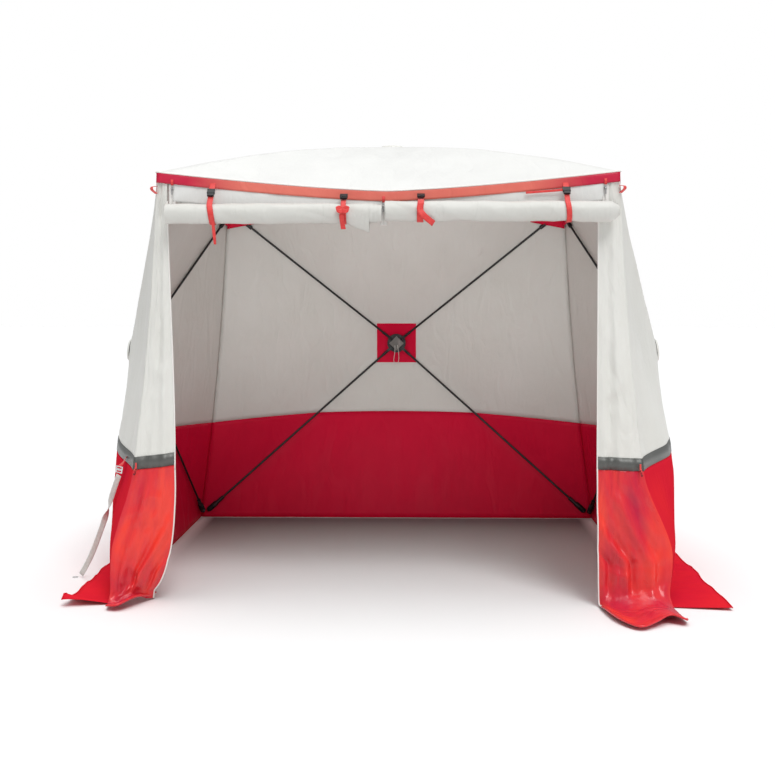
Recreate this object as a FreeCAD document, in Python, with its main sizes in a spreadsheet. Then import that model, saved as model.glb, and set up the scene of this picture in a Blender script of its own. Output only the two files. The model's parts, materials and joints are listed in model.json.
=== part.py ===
import FreeCAD, Part
import math
import os

import Sketcher
from FreeCAD import Placement, Rotation, Vector

# A pop-up shelter. Millimetres, +Z up. The origin is on the ground at the centre of the floor, the door is on
# the -Y side. Three walls and the roof are each pushed outwards by a hub with four poles to the corners.

SIZES = {
    # The tent's outline: half widths along X, half depths along Y, and heights.
    "base_half_width": 1155,
    "base_half_depth": 1120,
    "top_half_width": 966,
    "top_half_depth": 1015,
    "eave_height": 1810,
    "wall_hub_height": 1003,
    # How far each hub stands out from the flat through its four corners.
    "back_bulge": 350,
    "side_bulge": 258,
    "roof_bulge": 215,
    # How far the cloth between two corners is drawn inwards or down.
    "corner_pull": 29,
    "eave_pull": 20,
    "eave_sag": 60,
    "front_sag": 80,
    # Cloth and what is sewn to it.
    "cloth_thickness": 3,
    "trim_thickness": 1,
    "patch_thickness": 1.5,
    "seam_height": 567,
    "tape_width": 50,
    "band_width": 42,
    "patch_reach": 177,
    "pocket_reach": 150,
    "pocket_inset": 6,
    "door_half_width": 890,
    "header_drop": 140,
    "skirt_width": 235,
    "flap_length": 325,
    "skirt_gap": 5,
    "skirt_taper": 60,
    # Hubs, in a frame with its origin at the cloth's peak and z outwards.
    "hub_radius": 55,
    "hub_bottom": 40,
    "hub_top": 2,
    "hub_hole": 72,
    "cap_radius": 45,
    "cap_thickness": 8,
    "cap_rounding": 2.5,
    "slot_width": 16,
    "slot_start": 26,
    "slot_roof": 8,
    "pivot_radius": 38,
    "pivot_depth": 24,
    "pin_diameter": 5,
    "pin_length": 26,
    "plate_side": 62,
    "plate_thickness": 3,
    "stud_diameter": 8,
    "nut_radius": 7.5,
    "nut_height": 6,
    "fit_gap": 0.08,
    "loose_gap": 0.1,
    # Poles.
    "pole_diameter": 12,
    "tang_width": 15.7,
    "tang_length": 32,
    "tang_radius": 7,
    "socket_radius": 8,
    "socket_length": 40,
    "boot_radius": 11,
    "boot_length": 80,
    "boot_wall": 6,
    "corner_inset": 25,
    "tip_clearance": 70,
    # Rolled door leaves, and the straps that hold them up.
    "roll_radius": 46,
    "roll_depth": 1085,
    "left_roll_height": 1634,
    "right_roll_height": 1643,
    "left_roll_start": -916,
    "left_roll_end": -22,
    "right_roll_start": -9,
    "right_roll_end": 956,
    "webbing_width": 25,
    "webbing_thickness": 1.6,
    "strap_clearance": 0.4,
    "strap_hang": 30,
    "strap_back_height": 50,
    "socket_width": 32,
    "socket_body_length": 26,
    "socket_thickness": 10,
    "cavity_width": 24,
    "cavity_depth": 23.5,
    "cavity_thickness": 5,
    "tongue_width": 28,
    "tongue_length": 14,
    "tongue_thickness": 8,
    "prong_width": 20,
    "prong_length": 22,
    "prong_thickness": 4,
    # Zips.
    "slider_width": 10,
    "slider_depth": 5,
    "slider_length": 16,
    "lug_width": 2,
    "zip_pin_radius": 1,
    "zip_eye_radius": 2.4,
    "pull_width": 5.4,
    "pull_thickness": 1.4,
    "pull_length": 26,
    "zip_drop": 62,
    "zip_gap": 1.2,
    # Hooks at the front corners, and webbing tabs.
    "hook_pin_radius": 1.5,
    "hook_eye_radius": 3.2,
    "hook_eye_width": 8,
    "hook_bend": 7,
    "hook_wire": 1.6,
    "tab_width": 14,
    "tab_thickness": 3,
    "tab_length": 26,
    "hook_inset": 24,
    "guy_loop_length": 36,
    # Storm strap and the cord on the back hub.
    "ladder_width": 36,
    "ladder_length": 30,
    "ladder_thickness": 3,
    "ladder_slot": 6,
    "storm_place": -880,
    "storm_lift": 34,
    "storm_turn": 50,
    "ring_radius": 14,
    "ring_hole_radius": 6,
    "ring_thickness": 3,
    "cord_diameter": 3,
}

SIDES = {"front": 0, "right": 90, "back": 180, "left": 270}
CLOTHED = ("back", "left", "right")
STRAP_PLACES = (-730, -180, 140, 740)
ZIP_PLACES = (-900, -15.5, 906)

# The storm strap leaves the buckle on the left wall and comes down outside the skirt.
STORM_ROUTE = (
    Vector(-1172, -888, 518),
    Vector(-1212, -845, 430),
    Vector(-1256, -780, 325),
    Vector(-1316, -698, 200),
    Vector(-1376, -622, 85),
    Vector(-1424, -586, 14),
)

# The loop of cord on the back hub, in the hub's own frame.
LOOP_ROUTE = (
    Vector(-7, -9, -58),
    Vector(-12, -44, -60),
    Vector(-15, -78, -58),
    Vector(-14, -103, -57),
    Vector(-6, -121, -58),
    Vector(9, -122, -59),
    Vector(17, -105, -60),
    Vector(14, -80, -61),
    Vector(8, -44, -62),
    Vector(9, -11, -60),
)

doc = FreeCAD.newDocument("shelter")
sheet = doc.addObject("Spreadsheet::Sheet", "Sizes")
for row, (alias, number) in enumerate(SIZES.items(), start=1):
    sheet.set(f"A{row}", alias)
    sheet.set(f"B{row}", str(number))
    sheet.setAlias(f"B{row}", alias)
doc.recompute()

nodes = {}


def size(alias):
    """A driving size, read from the sheet."""
    return float(getattr(sheet, alias))


def add(kind, name, placement=None, **formulas):
    """A document object whose sizes follow formulas of the sheet's aliases."""
    made = doc.addObject(kind, name)
    for prop, formula in formulas.items():
        made.setExpression(prop, formula)
    if placement is not None:
        made.Placement = placement
    return made


def name_node(made, label):
    """Marks a finished object as one of the shelter's pieces."""
    made.Label = label
    nodes[label] = made
    return made


def add_shape(label, solids, placement=None):
    """A piece whose solids are worked out from the sheet's sizes."""
    made = doc.addObject("Part::Feature", label)
    made.Shape = solids[0] if len(solids) == 1 else Part.makeCompound(solids)
    if placement is not None:
        made.Placement = placement
    return name_node(made, label)


def group(label, members, placement=None):
    """A piece that is several separate solids."""
    made = doc.addObject("Part::Compound", label)
    made.Links = members
    if placement is not None:
        made.Placement = placement
    return name_node(made, label)


def cut(name, base, *tools):
    """The base with every tool taken away in turn."""
    for number, tool in enumerate(tools, start=1):
        made = doc.addObject("Part::Cut", f"{name}_cut_{number}")
        made.Base = base
        made.Tool = tool
        base = made
    return base


def turned(axis, angle, position=Vector(0, 0, 0)):
    return Placement(position, Rotation(axis, angle))


X_AXIS, Y_AXIS, Z_AXIS = Vector(1, 0, 0), Vector(0, 1, 0), Vector(0, 0, 1)


# --- The tent's outline -------------------------------------------------------------------------------------


def side_vector(side, across, out, height):
    """A point given by how far it is along a side, out from the middle, and up."""
    return Rotation(Z_AXIS, SIDES[side]).multVec(Vector(across, -out, height))


def is_gable(side):
    """True for the sides that the X axis runs along."""
    return side in ("front", "back")


def half_span(side, level):
    return size(f"{level}_half_width" if is_gable(side) else f"{level}_half_depth")


def reach(side, level):
    return size(f"{level}_half_depth" if is_gable(side) else f"{level}_half_width")


def reach_at(side, height):
    """How far a side's flat is from the middle at a height."""
    slope = (reach(side, "base") - reach(side, "top")) / size("eave_height")
    return reach(side, "base") - slope * height


def corner(side, end, level):
    """A corner of the tent: end is -1 or 1 along the side, level is base or top."""
    height = size("eave_height") if level == "top" else 0
    return side_vector(side, end * half_span(side, level), reach(side, level), height)


def corner_edge_middle(side, end):
    """The middle of a corner edge, which the cloth draws inwards."""
    pull = size("corner_pull")
    across = (half_span(side, "base") + half_span(side, "top")) / 2 - pull
    out = (reach(side, "base") + reach(side, "top")) / 2 - pull
    return side_vector(side, end * across, out, size("eave_height") / 2)


def eave_middle(side):
    if side == "front":
        height = size("eave_height") - size("front_sag")
        return side_vector(side, 0, reach_at(side, height), height)
    height = size("eave_height") - size("eave_sag")
    return side_vector(side, 0, reach(side, "top") - size("eave_pull"), height)


def eave_point(across):
    """A point of the front eave, which runs straight from each corner to the sagging middle."""
    share = abs(across) / size("top_half_width")
    height = size("eave_height") - size("front_sag") * (1 - share)
    return side_vector("front", across, reach_at("front", height), height)


def panel_frame(panel):
    """The frame of a wall or the roof at its hub: z is outwards, y is up the wall, the origin is the peak."""
    if panel == "roof":
        return Placement(Vector(0, 0, size("eave_height") + size("roof_bulge")), Rotation())
    rise = size("eave_height")
    lean = math.degrees(math.atan((reach(panel, "base") - reach(panel, "top")) / rise))
    foot = side_vector(panel, 0, reach_at(panel, size("wall_hub_height")), size("wall_hub_height"))
    turn = Rotation(Z_AXIS, SIDES[panel]).multiply(Rotation(X_AXIS, 90 - lean))
    bulge = size("back_bulge" if panel == "back" else "side_bulge")
    return Placement(foot + turn.multVec(Z_AXIS) * bulge, turn)


def panel_ring(panel):
    """The eight points round a wall or the roof, in order."""
    if panel == "roof":
        points = []
        for side in SIDES:
            points += [corner(side, -1, "top"), eave_middle(side)]
        return points
    return [
        corner(panel, -1, "base"),
        side_vector(panel, 0, reach(panel, "base"), 0),
        corner(panel, 1, "base"),
        corner_edge_middle(panel, 1),
        corner(panel, 1, "top"),
        eave_middle(panel),
        corner(panel, -1, "top"),
        corner_edge_middle(panel, -1),
    ]


def panel_corners(panel):
    """The four corners that a panel's poles run to, by name."""
    if panel == "roof":
        return {
            "front_left": corner("front", -1, "top"),
            "front_right": corner("front", 1, "top"),
            "rear_right": corner("back", -1, "top"),
            "rear_left": corner("back", 1, "top"),
        }
    return {
        "lower_a": corner(panel, -1, "base"),
        "lower_b": corner(panel, 1, "base"),
        "upper_b": corner(panel, 1, "top"),
        "upper_a": corner(panel, -1, "top"),
    }


def outward(panel):
    return panel_frame(panel).Rotation.multVec(Z_AXIS)


# --- Cloth --------------------------------------------------------------------------------------------------


def prism(points, direction, start, thickness):
    """A flat outline made solid, from start to start + thickness along the direction."""
    outline = Part.makePolygon([point + direction * start for point in points + points[:1]])
    return Part.Face(outline).extrude(direction * thickness)


def between(solids, low, high):
    """The parts of the solids between two heights."""
    width = 4 * size("base_half_width")
    slab = Part.makeBox(width, width, high - low, Vector(-width / 2, -width / 2, low))
    kept = []
    for solid in solids:
        kept += solid.common(slab).Solids
    return kept


def towards(start, end, distance):
    return start + (end - start).normalize() * distance


def panel_facets(panel, inner, start, thickness, outer=None):
    """The eight facets of a panel, from a distance off the peak out to its edge or to another distance."""
    peak = panel_frame(panel).Base
    ring = panel_ring(panel)
    solids = []
    for here, there in zip(ring, ring[1:] + ring[:1]):
        far_here = here if outer is None else towards(peak, here, outer)
        far_there = there if outer is None else towards(peak, there, outer)
        points = [towards(peak, here, inner), far_here, far_there, towards(peak, there, inner)]
        solids.append(prism(points, outward(panel), start, thickness))
    return solids


def wing_outlines(end):
    """The narrow front wall beside the door: an upper pair of facets and the lower one."""
    edge = end * size("door_half_width")
    top = corner("front", end, "top")
    middle = corner_edge_middle("front", end)
    base = corner("front", end, "base")
    door_top = eave_point(edge)
    door_middle = Vector(edge, middle.y, middle.z)
    door_base = Vector(edge, base.y, 0)
    return [
        [top, middle, door_middle],
        [top, door_middle, door_top],
        [middle, base, door_base, door_middle],
    ]


def front_facets(start, thickness):
    solids = []
    for end in (-1, 1):
        solids += [prism(points, outward("front"), start, thickness) for points in wing_outlines(end)]
    return solids


def make_walls():
    seam = size("seam_height")
    top = size("eave_height") + size("roof_bulge")
    cloth = size("cloth_thickness")
    for panel in CLOTHED:
        facets = panel_facets(panel, size("hub_hole"), 0, cloth)
        add_shape(f"{panel}_wall", between(facets, seam, top))
        add_shape(f"{panel}_base", between(facets, 0, seam))
    add_shape("roof_cover", panel_facets("roof", size("hub_hole"), 0, cloth))
    wings = front_facets(0, cloth)
    add_shape("front_wings", between(wings, seam, top))
    add_shape("front_bases", between(wings, 0, seam))


def make_header():
    """The cloth above the door, between the two wings."""
    middle = eave_middle("front")
    solids = []
    for end in (-1, 1):
        edge = eave_point(end * size("door_half_width"))
        points = [middle, edge, lower_front(edge, "header_drop"), lower_front(middle, "header_drop")]
        solids.append(prism(points, outward("front"), 0, size("cloth_thickness")))
    add_shape("door_header", solids)


def lower_front(point, drop):
    """A point of the front flat some way below another."""
    height = point.z - size(drop)
    return side_vector("front", point.x, reach_at("front", height), height)


def make_tape():
    """The reflective tape that runs round the tent just above the seam."""
    low = size("seam_height")
    high = low + size("tape_width")
    strips = front_facets(size("cloth_thickness"), size("trim_thickness"))
    for panel in CLOTHED:
        strips += panel_facets(panel, size("hub_hole"), size("cloth_thickness"), size("trim_thickness"))
    add_shape("reflective_tape", between(strips, low, high))


def make_eave_band():
    """The band under the eaves: along the front, and along the top edge of each wall."""
    cloth, trim = size("cloth_thickness"), size("trim_thickness")
    solids = []
    for end in (-1, 1):
        middle, edge = eave_middle("front"), corner("front", end, "top")
        points = [middle, edge, lower_front(edge, "band_width"), lower_front(middle, "band_width")]
        solids.append(prism(points, outward("front"), cloth, trim))
    for panel in CLOTHED:
        peak = panel_frame(panel).Base
        share = size("band_width") / (size("eave_height") - size("wall_hub_height"))
        for end in (-1, 1):
            upper = [eave_middle(panel), corner(panel, end, "top")]
            lower = [point + (peak - point) * share for point in reversed(upper)]
            solids.append(prism(upper + lower, outward(panel), cloth, trim))
    add_shape("eave_band", solids)


def pocket_outline(corner_point, neighbour, peak):
    """A triangle of cloth sewn into a panel's corner, clear of the edges by the inset."""
    arm = towards(corner_point, neighbour, size("pocket_reach"))
    ridge = towards(corner_point, peak, size("pocket_reach"))
    centre = (corner_point + arm + ridge) * (1 / 3)
    keep = 1 - 4 * size("pocket_inset") / size("pocket_reach")
    return [centre + (point - centre) * keep for point in (corner_point, arm, ridge)]


def make_patches():
    """The patches round the hubs and the pockets in the corners, on the cloth's inner face."""
    thickness = size("patch_thickness")
    solids = []
    for panel in CLOTHED + ("roof",):
        inward = outward(panel) * -1
        solids += panel_facets(panel, size("hub_hole"), -thickness, thickness, size("patch_reach"))
        peak, ring = panel_frame(panel).Base, panel_ring(panel)
        for number in range(0, 8, 2):
            for neighbour in (ring[number - 1], ring[(number + 1) % 8]):
                outline = pocket_outline(ring[number], neighbour, peak)
                solids.append(prism(outline, inward, 0, thickness))
    add_shape("reinforcement_patches", solids)


def make_skirt():
    """Flaps that lie on the ground outside the walls, and in front of the two wings."""
    gap, width, taper = size("skirt_gap"), size("skirt_width"), size("skirt_taper")
    flat = size("cloth_thickness")
    solids = []
    for panel in CLOTHED:
        near, span = reach(panel, "base") + gap, half_span(panel, "base")
        outline = [(-span, near), (span, near), (span - taper, near + width), (taper - span, near + width)]
        points = [side_vector(panel, across, out, 0) for across, out in outline]
        solids.append(prism(points, Z_AXIS, 0, flat))
    near = reach("front", "base") + gap
    far = near + size("flap_length")
    for end in (-1, 1):
        inner, outer = end * size("door_half_width"), end * size("base_half_width")
        outline = [(inner, near), (outer, near), (outer - end * taper, far), (inner + end * taper, far)]
        points = [side_vector("front", across, out, 0) for across, out in outline]
        solids.append(prism(points, Z_AXIS, 0, flat))
    add_shape("snow_skirt", solids)


# --- Hubs and poles -----------------------------------------------------------------------------------------


def pole_directions(panel):
    """Each pole's direction in the hub's flat, in degrees, and the place it points at, in the hub's frame."""
    to_local = panel_frame(panel).inverse()
    inset = size("corner_inset")
    found = {}
    for name, point in panel_corners(panel).items():
        local = to_local.multVec(point)
        across = local.x - math.copysign(inset, local.x)
        along = local.y - math.copysign(inset, local.y)
        found[name] = (math.degrees(math.atan2(along, across)), Vector(across, along, local.z - inset))
    return found


def pole_pivot(angle):
    turn = Rotation(Z_AXIS, angle)
    return turn.multVec(Vector(size("pivot_radius"), 0, -size("pivot_depth")))


def disc(name, radius, length, height):
    """A round body with its upper rim rounded, standing on a height in its own frame."""
    body = doc.addObject("PartDesign::Body", name)
    sketch = body.newObject("Sketcher::SketchObject", f"{name}_outline")
    flat = next(item for item in body.Origin.OriginFeatures if item.Role == "XY_Plane")
    sketch.AttachmentSupport = [(flat, "")]
    sketch.MapMode = "FlatFace"
    sketch.addGeometry(Part.Circle(Vector(0, 0, 0), Z_AXIS, size(radius)), False)
    sketch.addConstraint(Sketcher.Constraint("Coincident", 0, 3, -1, 1))
    sketch.addConstraint(Sketcher.Constraint("Radius", 0, size(radius)))
    sketch.setExpression("Constraints[1]", f"Sizes.{radius}")
    pad = body.newObject("PartDesign::Pad", f"{name}_pad")
    pad.Profile = sketch
    pad.setExpression("Length", f"Sizes.{length}")
    doc.recompute()
    rim = max(range(len(pad.Shape.Edges)), key=lambda number: pad.Shape.Edges[number].BoundBox.ZMin)
    rounding = body.newObject("PartDesign::Fillet", f"{name}_rounding")
    rounding.Base = (pad, [f"Edge{rim + 1}"])
    rounding.setExpression("Radius", "Sizes.cap_rounding")
    body.Placement = height
    return body


def make_hub(panel):
    """A hub: slotted body, outer cap, and the plate, stud, nut and pivot pins that it holds."""
    frame = panel_frame(panel)
    angles = [angle for angle, _ in pole_directions(panel).values()]
    base = add("Part::Cylinder", f"{panel}_hub_blank", turned(Z_AXIS, 0, Vector(0, 0, -size("hub_bottom"))),
               Radius="Sizes.hub_radius", Height="Sizes.hub_bottom + Sizes.hub_top")
    tools = [add("Part::Cylinder", f"{panel}_stud_hole", turned(Z_AXIS, 0, Vector(0, 0, -size("hub_bottom"))),
                 Radius="Sizes.stud_diameter / 2 + Sizes.loose_gap", Height="Sizes.hub_bottom - 1")]
    pins = []
    for number, angle in enumerate(angles, start=1):
        turn = Rotation(Z_AXIS, angle)
        corner_place = turn.multVec(Vector(size("slot_start"), -size("slot_width") / 2, -size("hub_bottom")))
        tools.append(add("Part::Box", f"{panel}_slot_{number}", Placement(corner_place, turn),
                         Length="Sizes.hub_radius", Width="Sizes.slot_width",
                         Height="Sizes.hub_bottom - Sizes.slot_roof"))
        across = turn.multiply(Rotation(X_AXIS, 90))
        pivot = pole_pivot(angle)
        half_pin = turn.multVec(Vector(0, size("pin_length") / 2, 0))
        tools.append(add("Part::Cylinder", f"{panel}_pin_hole_{number}", Placement(pivot + half_pin, across),
                         Radius="Sizes.pin_diameter / 2 + Sizes.loose_gap", Height="Sizes.pin_length"))
        pins.append(add("Part::Cylinder", f"{panel}_pin_{number}", Placement(pivot + half_pin, across),
                        Radius="Sizes.pin_diameter / 2", Height="Sizes.pin_length"))
    name_node(cut(f"{panel}_hub", base, *tools), f"{panel}_hub_body").Placement = frame
    lift = turned(Z_AXIS, 0, Vector(0, 0, size("hub_top")))
    name_node(disc(f"{panel}_cap", "cap_radius", "cap_thickness", frame.multiply(lift)), f"{panel}_hub_cap")
    group(f"{panel}_hub_hardware", make_hub_plate(panel) + pins, frame)


def make_hub_plate(panel):
    """The square plate turned by 45 degrees on the hub's inner face, with the stud and nut through it."""
    under = -size("hub_bottom") - size("plate_thickness")
    quarter = Rotation(Z_AXIS, 45)
    half = size("plate_side") / 2
    square_place = Placement(quarter.multVec(Vector(-half, -half, 0)) + Z_AXIS * under, quarter)
    square = add("Part::Box", f"{panel}_square", square_place,
                 Length="Sizes.plate_side", Width="Sizes.plate_side", Height="Sizes.plate_thickness")
    low = turned(Z_AXIS, 0, Vector(0, 0, under))
    plate_hole = add("Part::Cylinder", f"{panel}_plate_hole", low,
                     Radius="Sizes.stud_diameter / 2 + Sizes.loose_gap", Height="Sizes.plate_thickness")
    nut_place = turned(Z_AXIS, 0, Vector(0, 0, under - size("nut_height")))
    hexagon = add("Part::Prism", f"{panel}_hexagon", nut_place,
                  Circumradius="Sizes.nut_radius", Height="Sizes.nut_height")
    hexagon.Polygon = 6
    nut_hole = add("Part::Cylinder", f"{panel}_nut_hole", nut_place,
                   Radius="Sizes.stud_diameter / 2 + Sizes.loose_gap", Height="Sizes.nut_height")
    stud_place = turned(Z_AXIS, 0, Vector(0, 0, under - size("nut_height") - 3))
    stud = add("Part::Cylinder", f"{panel}_stud", stud_place, Radius="Sizes.stud_diameter / 2",
               Height="Sizes.hub_bottom + Sizes.plate_thickness + Sizes.nut_height")
    return [cut(f"{panel}_plate", square, plate_hole), cut(f"{panel}_nut", hexagon, nut_hole), stud]


def pole_frame(panel, angle, target):
    """A pole's frame: the origin on its pivot, x along the pole, y along the pivot pin."""
    pivot = pole_pivot(angle)
    along = (target - pivot).normalize()
    pin = Rotation(Z_AXIS, angle).multVec(Y_AXIS)
    turn = Rotation(along, pin, along.cross(pin), "XYZ")
    return panel_frame(panel).multiply(Placement(pivot, turn))


def make_pole(panel, name, angle, target):
    """A pole: its ferrule on the hub pin, the rod, and the boot at its tip."""
    label = f"{panel}_pole_{name}"
    reach_of_tip = (target - pole_pivot(angle)).Length - size("tip_clearance")
    flat = turned(X_AXIS, 90, Vector(0, size("tang_width") / 2, 0))
    eye = add("Part::Cylinder", f"{label}_eye", flat, Radius="Sizes.tang_radius", Height="Sizes.tang_width")
    tang = add("Part::Box", f"{label}_tang",
               turned(Z_AXIS, 0, Vector(0, -size("tang_width") / 2, -size("tang_radius"))),
               Length="Sizes.tang_length", Width="Sizes.tang_width", Height="2 * Sizes.tang_radius")
    socket_place = turned(Y_AXIS, 90, Vector(size("tang_length"), 0, 0))
    socket = add("Part::Cylinder", f"{label}_socket", socket_place,
                 Radius="Sizes.socket_radius", Height="Sizes.socket_length")
    whole = doc.addObject("Part::MultiFuse", f"{label}_whole")
    whole.Shapes = [eye, tang, socket]
    pin_hole = add("Part::Cylinder", f"{label}_pin_hole", flat,
                   Radius="Sizes.pin_diameter / 2 + Sizes.fit_gap", Height="Sizes.tang_width")
    rod_start = size("tang_length") + size("boot_wall")
    bore = add("Part::Cylinder", f"{label}_bore", turned(Y_AXIS, 90, Vector(rod_start, 0, 0)),
               Radius="Sizes.pole_diameter / 2 + Sizes.loose_gap", Height="Sizes.socket_length")
    rod = add("Part::Cylinder", f"{label}_rod", turned(Y_AXIS, 90, Vector(rod_start, 0, 0)),
              Radius="Sizes.pole_diameter / 2")
    rod.Height = reach_of_tip - rod_start - size("boot_wall")
    boot_start = turned(Y_AXIS, 90, Vector(reach_of_tip - size("boot_length"), 0, 0))
    boot_blank = add("Part::Cylinder", f"{label}_boot_blank", boot_start,
                     Radius="Sizes.boot_radius", Height="Sizes.boot_length")
    boot_bore = add("Part::Cylinder", f"{label}_boot_bore", boot_start,
                    Radius="Sizes.pole_diameter / 2 + Sizes.loose_gap",
                    Height="Sizes.boot_length - Sizes.boot_wall")
    ferrule = cut(f"{label}_ferrule", whole, pin_hole, bore)
    boot = cut(f"{label}_boot", boot_blank, boot_bore)
    group(label, [ferrule, rod, boot], pole_frame(panel, angle, target))


# --- Rolled door leaves and their straps --------------------------------------------------------------------


def make_roll(hand):
    start, height = size(f"{hand}_roll_start"), size(f"{hand}_roll_height")
    place = turned(Y_AXIS, 90, Vector(start, -size("roll_depth"), height))
    roll = add("Part::Cylinder", f"{hand}_roll", place, Radius="Sizes.roll_radius",
               Height=f"Sizes.{hand}_roll_end - Sizes.{hand}_roll_start")
    name_node(roll, f"door_roll_{hand}")


def strap_line(place):
    """A roll strap's straight upper run: its top, its foot, the roll's centre and the foot's angle on it."""
    hand = "left" if place < 0 else "right"
    centre = Vector(place, -size("roll_depth"), size(f"{hand}_roll_height"))
    height = eave_point(place).z - size("strap_hang")
    out = size("cloth_thickness") + size("trim_thickness") + size("webbing_thickness")
    top = side_vector("front", place, reach_at("front", height) + out, height)
    radius = size("roll_radius") + size("strap_clearance") + size("webbing_thickness") / 2
    line = top - centre
    angle = math.atan2(line.z, line.y) + math.acos(radius / line.Length)
    foot = centre + Vector(0, math.cos(angle), math.sin(angle)) * radius
    return top, foot, centre, angle


def strap_frame(place):
    """A frame on a strap's upper run: x across the webbing, y down the strap, z away from the roll."""
    top, foot = strap_line(place)[:2]
    down = (foot - top).normalize()
    return Placement(top, Rotation(X_AXIS * -1, down, down.cross(X_AXIS), "XYZ"))


def strap_solid(place):
    """Webbing that comes down from the band over the front of the roll, round below it and up behind."""
    top, foot, centre, angle = strap_line(place)
    thick = size("webbing_thickness")
    middle = size("roll_radius") + size("strap_clearance") + thick / 2
    away = Vector(0, math.cos(angle), math.sin(angle))
    back = Z_AXIS * size("strap_back_height")

    def run(offset):
        radius = middle + offset
        lowest = centre - Z_AXIS * radius
        rear = centre + Y_AXIS * radius
        return [top + away * offset, centre + away * radius, lowest, rear, rear + back]

    outside, inside = run(thick / 2), run(-thick / 2)
    edges = [
        Part.LineSegment(outside[0], outside[1]),
        Part.Arc(outside[1], outside[2], outside[3]),
        Part.LineSegment(outside[3], outside[4]),
        Part.LineSegment(outside[4], inside[4]),
        Part.LineSegment(inside[4], inside[3]),
        Part.Arc(inside[3], inside[2], inside[1]),
        Part.LineSegment(inside[1], inside[0]),
        Part.LineSegment(inside[0], outside[0]),
    ]
    width = size("webbing_width")
    section = Part.Face(Part.Wire([edge.toShape() for edge in edges]))
    section.translate(X_AXIS * (-width / 2))
    return section.extrude(X_AXIS * width)


def buckle_start(place):
    """How far down its strap a buckle's socket begins, so that the tongue has room to come out."""
    top, foot = strap_line(place)[:2]
    closed = size("socket_body_length") + size("tongue_length")
    return ((foot - top).Length - closed - size("prong_length")) * 0.6


def buckle_lift():
    return size("webbing_thickness") / 2 + size("strap_clearance")


def make_buckles():
    """The sockets, fixed to the band's straps, and the tongues, which pull out down the straps."""
    sockets = []
    for number, place in enumerate(STRAP_PLACES, start=1):
        frame = strap_frame(place)
        start = buckle_start(place)
        half = size("socket_width") / 2
        shell = add("Part::Box", f"socket_{number}_shell",
                    frame.multiply(turned(Z_AXIS, 0, Vector(-half, start, buckle_lift()))),
                    Length="Sizes.socket_width", Width="Sizes.socket_body_length",
                    Height="Sizes.socket_thickness")
        rise = buckle_lift() + (size("socket_thickness") - size("cavity_thickness")) / 2
        mouth = start + size("socket_body_length") - size("cavity_depth")
        cavity = add("Part::Box", f"socket_{number}_cavity",
                     frame.multiply(turned(Z_AXIS, 0, Vector(-size("cavity_width") / 2, mouth, rise))),
                     Length="Sizes.cavity_width", Width="Sizes.cavity_depth", Height="Sizes.cavity_thickness")
        sockets.append(cut(f"socket_{number}", shell, cavity))
        make_tongue(number, frame, start + size("socket_body_length"))
    group("buckle_sockets", sockets)


def make_tongue(number, frame, mouth):
    """A tongue: a block below the socket's mouth with a flat prong that reaches into the socket."""
    label = f"buckle_tongue_{number}"
    gap = size("strap_clearance")
    block_rise = buckle_lift() + (size("socket_thickness") - size("tongue_thickness")) / 2
    prong_rise = buckle_lift() + (size("socket_thickness") - size("prong_thickness")) / 2
    block = add("Part::Box", f"{label}_block",
                turned(Z_AXIS, 0, Vector(-size("tongue_width") / 2, mouth + gap, block_rise)),
                Length="Sizes.tongue_width", Width="Sizes.tongue_length", Height="Sizes.tongue_thickness")
    prong_start = Vector(-size("prong_width") / 2, mouth + gap - size("prong_length"), prong_rise)
    prong = add("Part::Box", f"{label}_prong", turned(Z_AXIS, 0, prong_start),
                Length="Sizes.prong_width", Width="Sizes.prong_length", Height="Sizes.prong_thickness")
    joined = doc.addObject("Part::Fuse", label)
    joined.Base = block
    joined.Tool = prong
    joined.Placement = frame
    name_node(joined, label)


# --- Zips ---------------------------------------------------------------------------------------------------


def zip_frame(place):
    """A frame on the front cloth at a zip's end: x across, y outwards, z up, the origin on the pull's pin."""
    height = eave_point(place).z - size("zip_drop")
    out = size("cloth_thickness") + size("zip_gap") + size("slider_depth")
    pin = side_vector("front", place, reach_at("front", height) + out + size("zip_eye_radius") + 1, height)
    return Placement(pin, Rotation(Z_AXIS, 180))


def make_zips():
    sliders = []
    for number, place in enumerate(ZIP_PLACES, start=1):
        frame = zip_frame(place)
        back = -size("slider_depth") - size("zip_eye_radius") - 1
        body = add("Part::Box", f"slider_{number}_body",
                   turned(Z_AXIS, 0, Vector(-size("slider_width") / 2, back, -size("slider_length") / 2)),
                   Length="Sizes.slider_width", Width="Sizes.slider_depth", Height="Sizes.slider_length")
        lugs = []
        for side in (-1, 1):
            near = side * (size("slider_width") - size("lug_width")) / 2 - size("lug_width") / 2
            lug_corner = Vector(near, back + size("slider_depth") / 2, -size("zip_eye_radius"))
            lugs.append(add("Part::Box", f"slider_{number}_lug_{side + 2}", turned(Z_AXIS, 0, lug_corner),
                            Length="Sizes.lug_width",
                            Width="Sizes.slider_depth / 2 + 2 * Sizes.zip_eye_radius + 1",
                            Height="2 * Sizes.zip_eye_radius"))
        across = turned(Y_AXIS, 90, Vector(-size("slider_width") / 2, 0, 0))
        pin = add("Part::Cylinder", f"slider_{number}_pin", across,
                  Radius="Sizes.zip_pin_radius", Height="Sizes.slider_width")
        whole = doc.addObject("Part::MultiFuse", f"slider_{number}")
        whole.Shapes = [body, pin] + lugs
        whole.Placement = frame
        sliders.append(whole)
        make_zip_pull(number, frame)
    group("zip_sliders", sliders)


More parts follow.
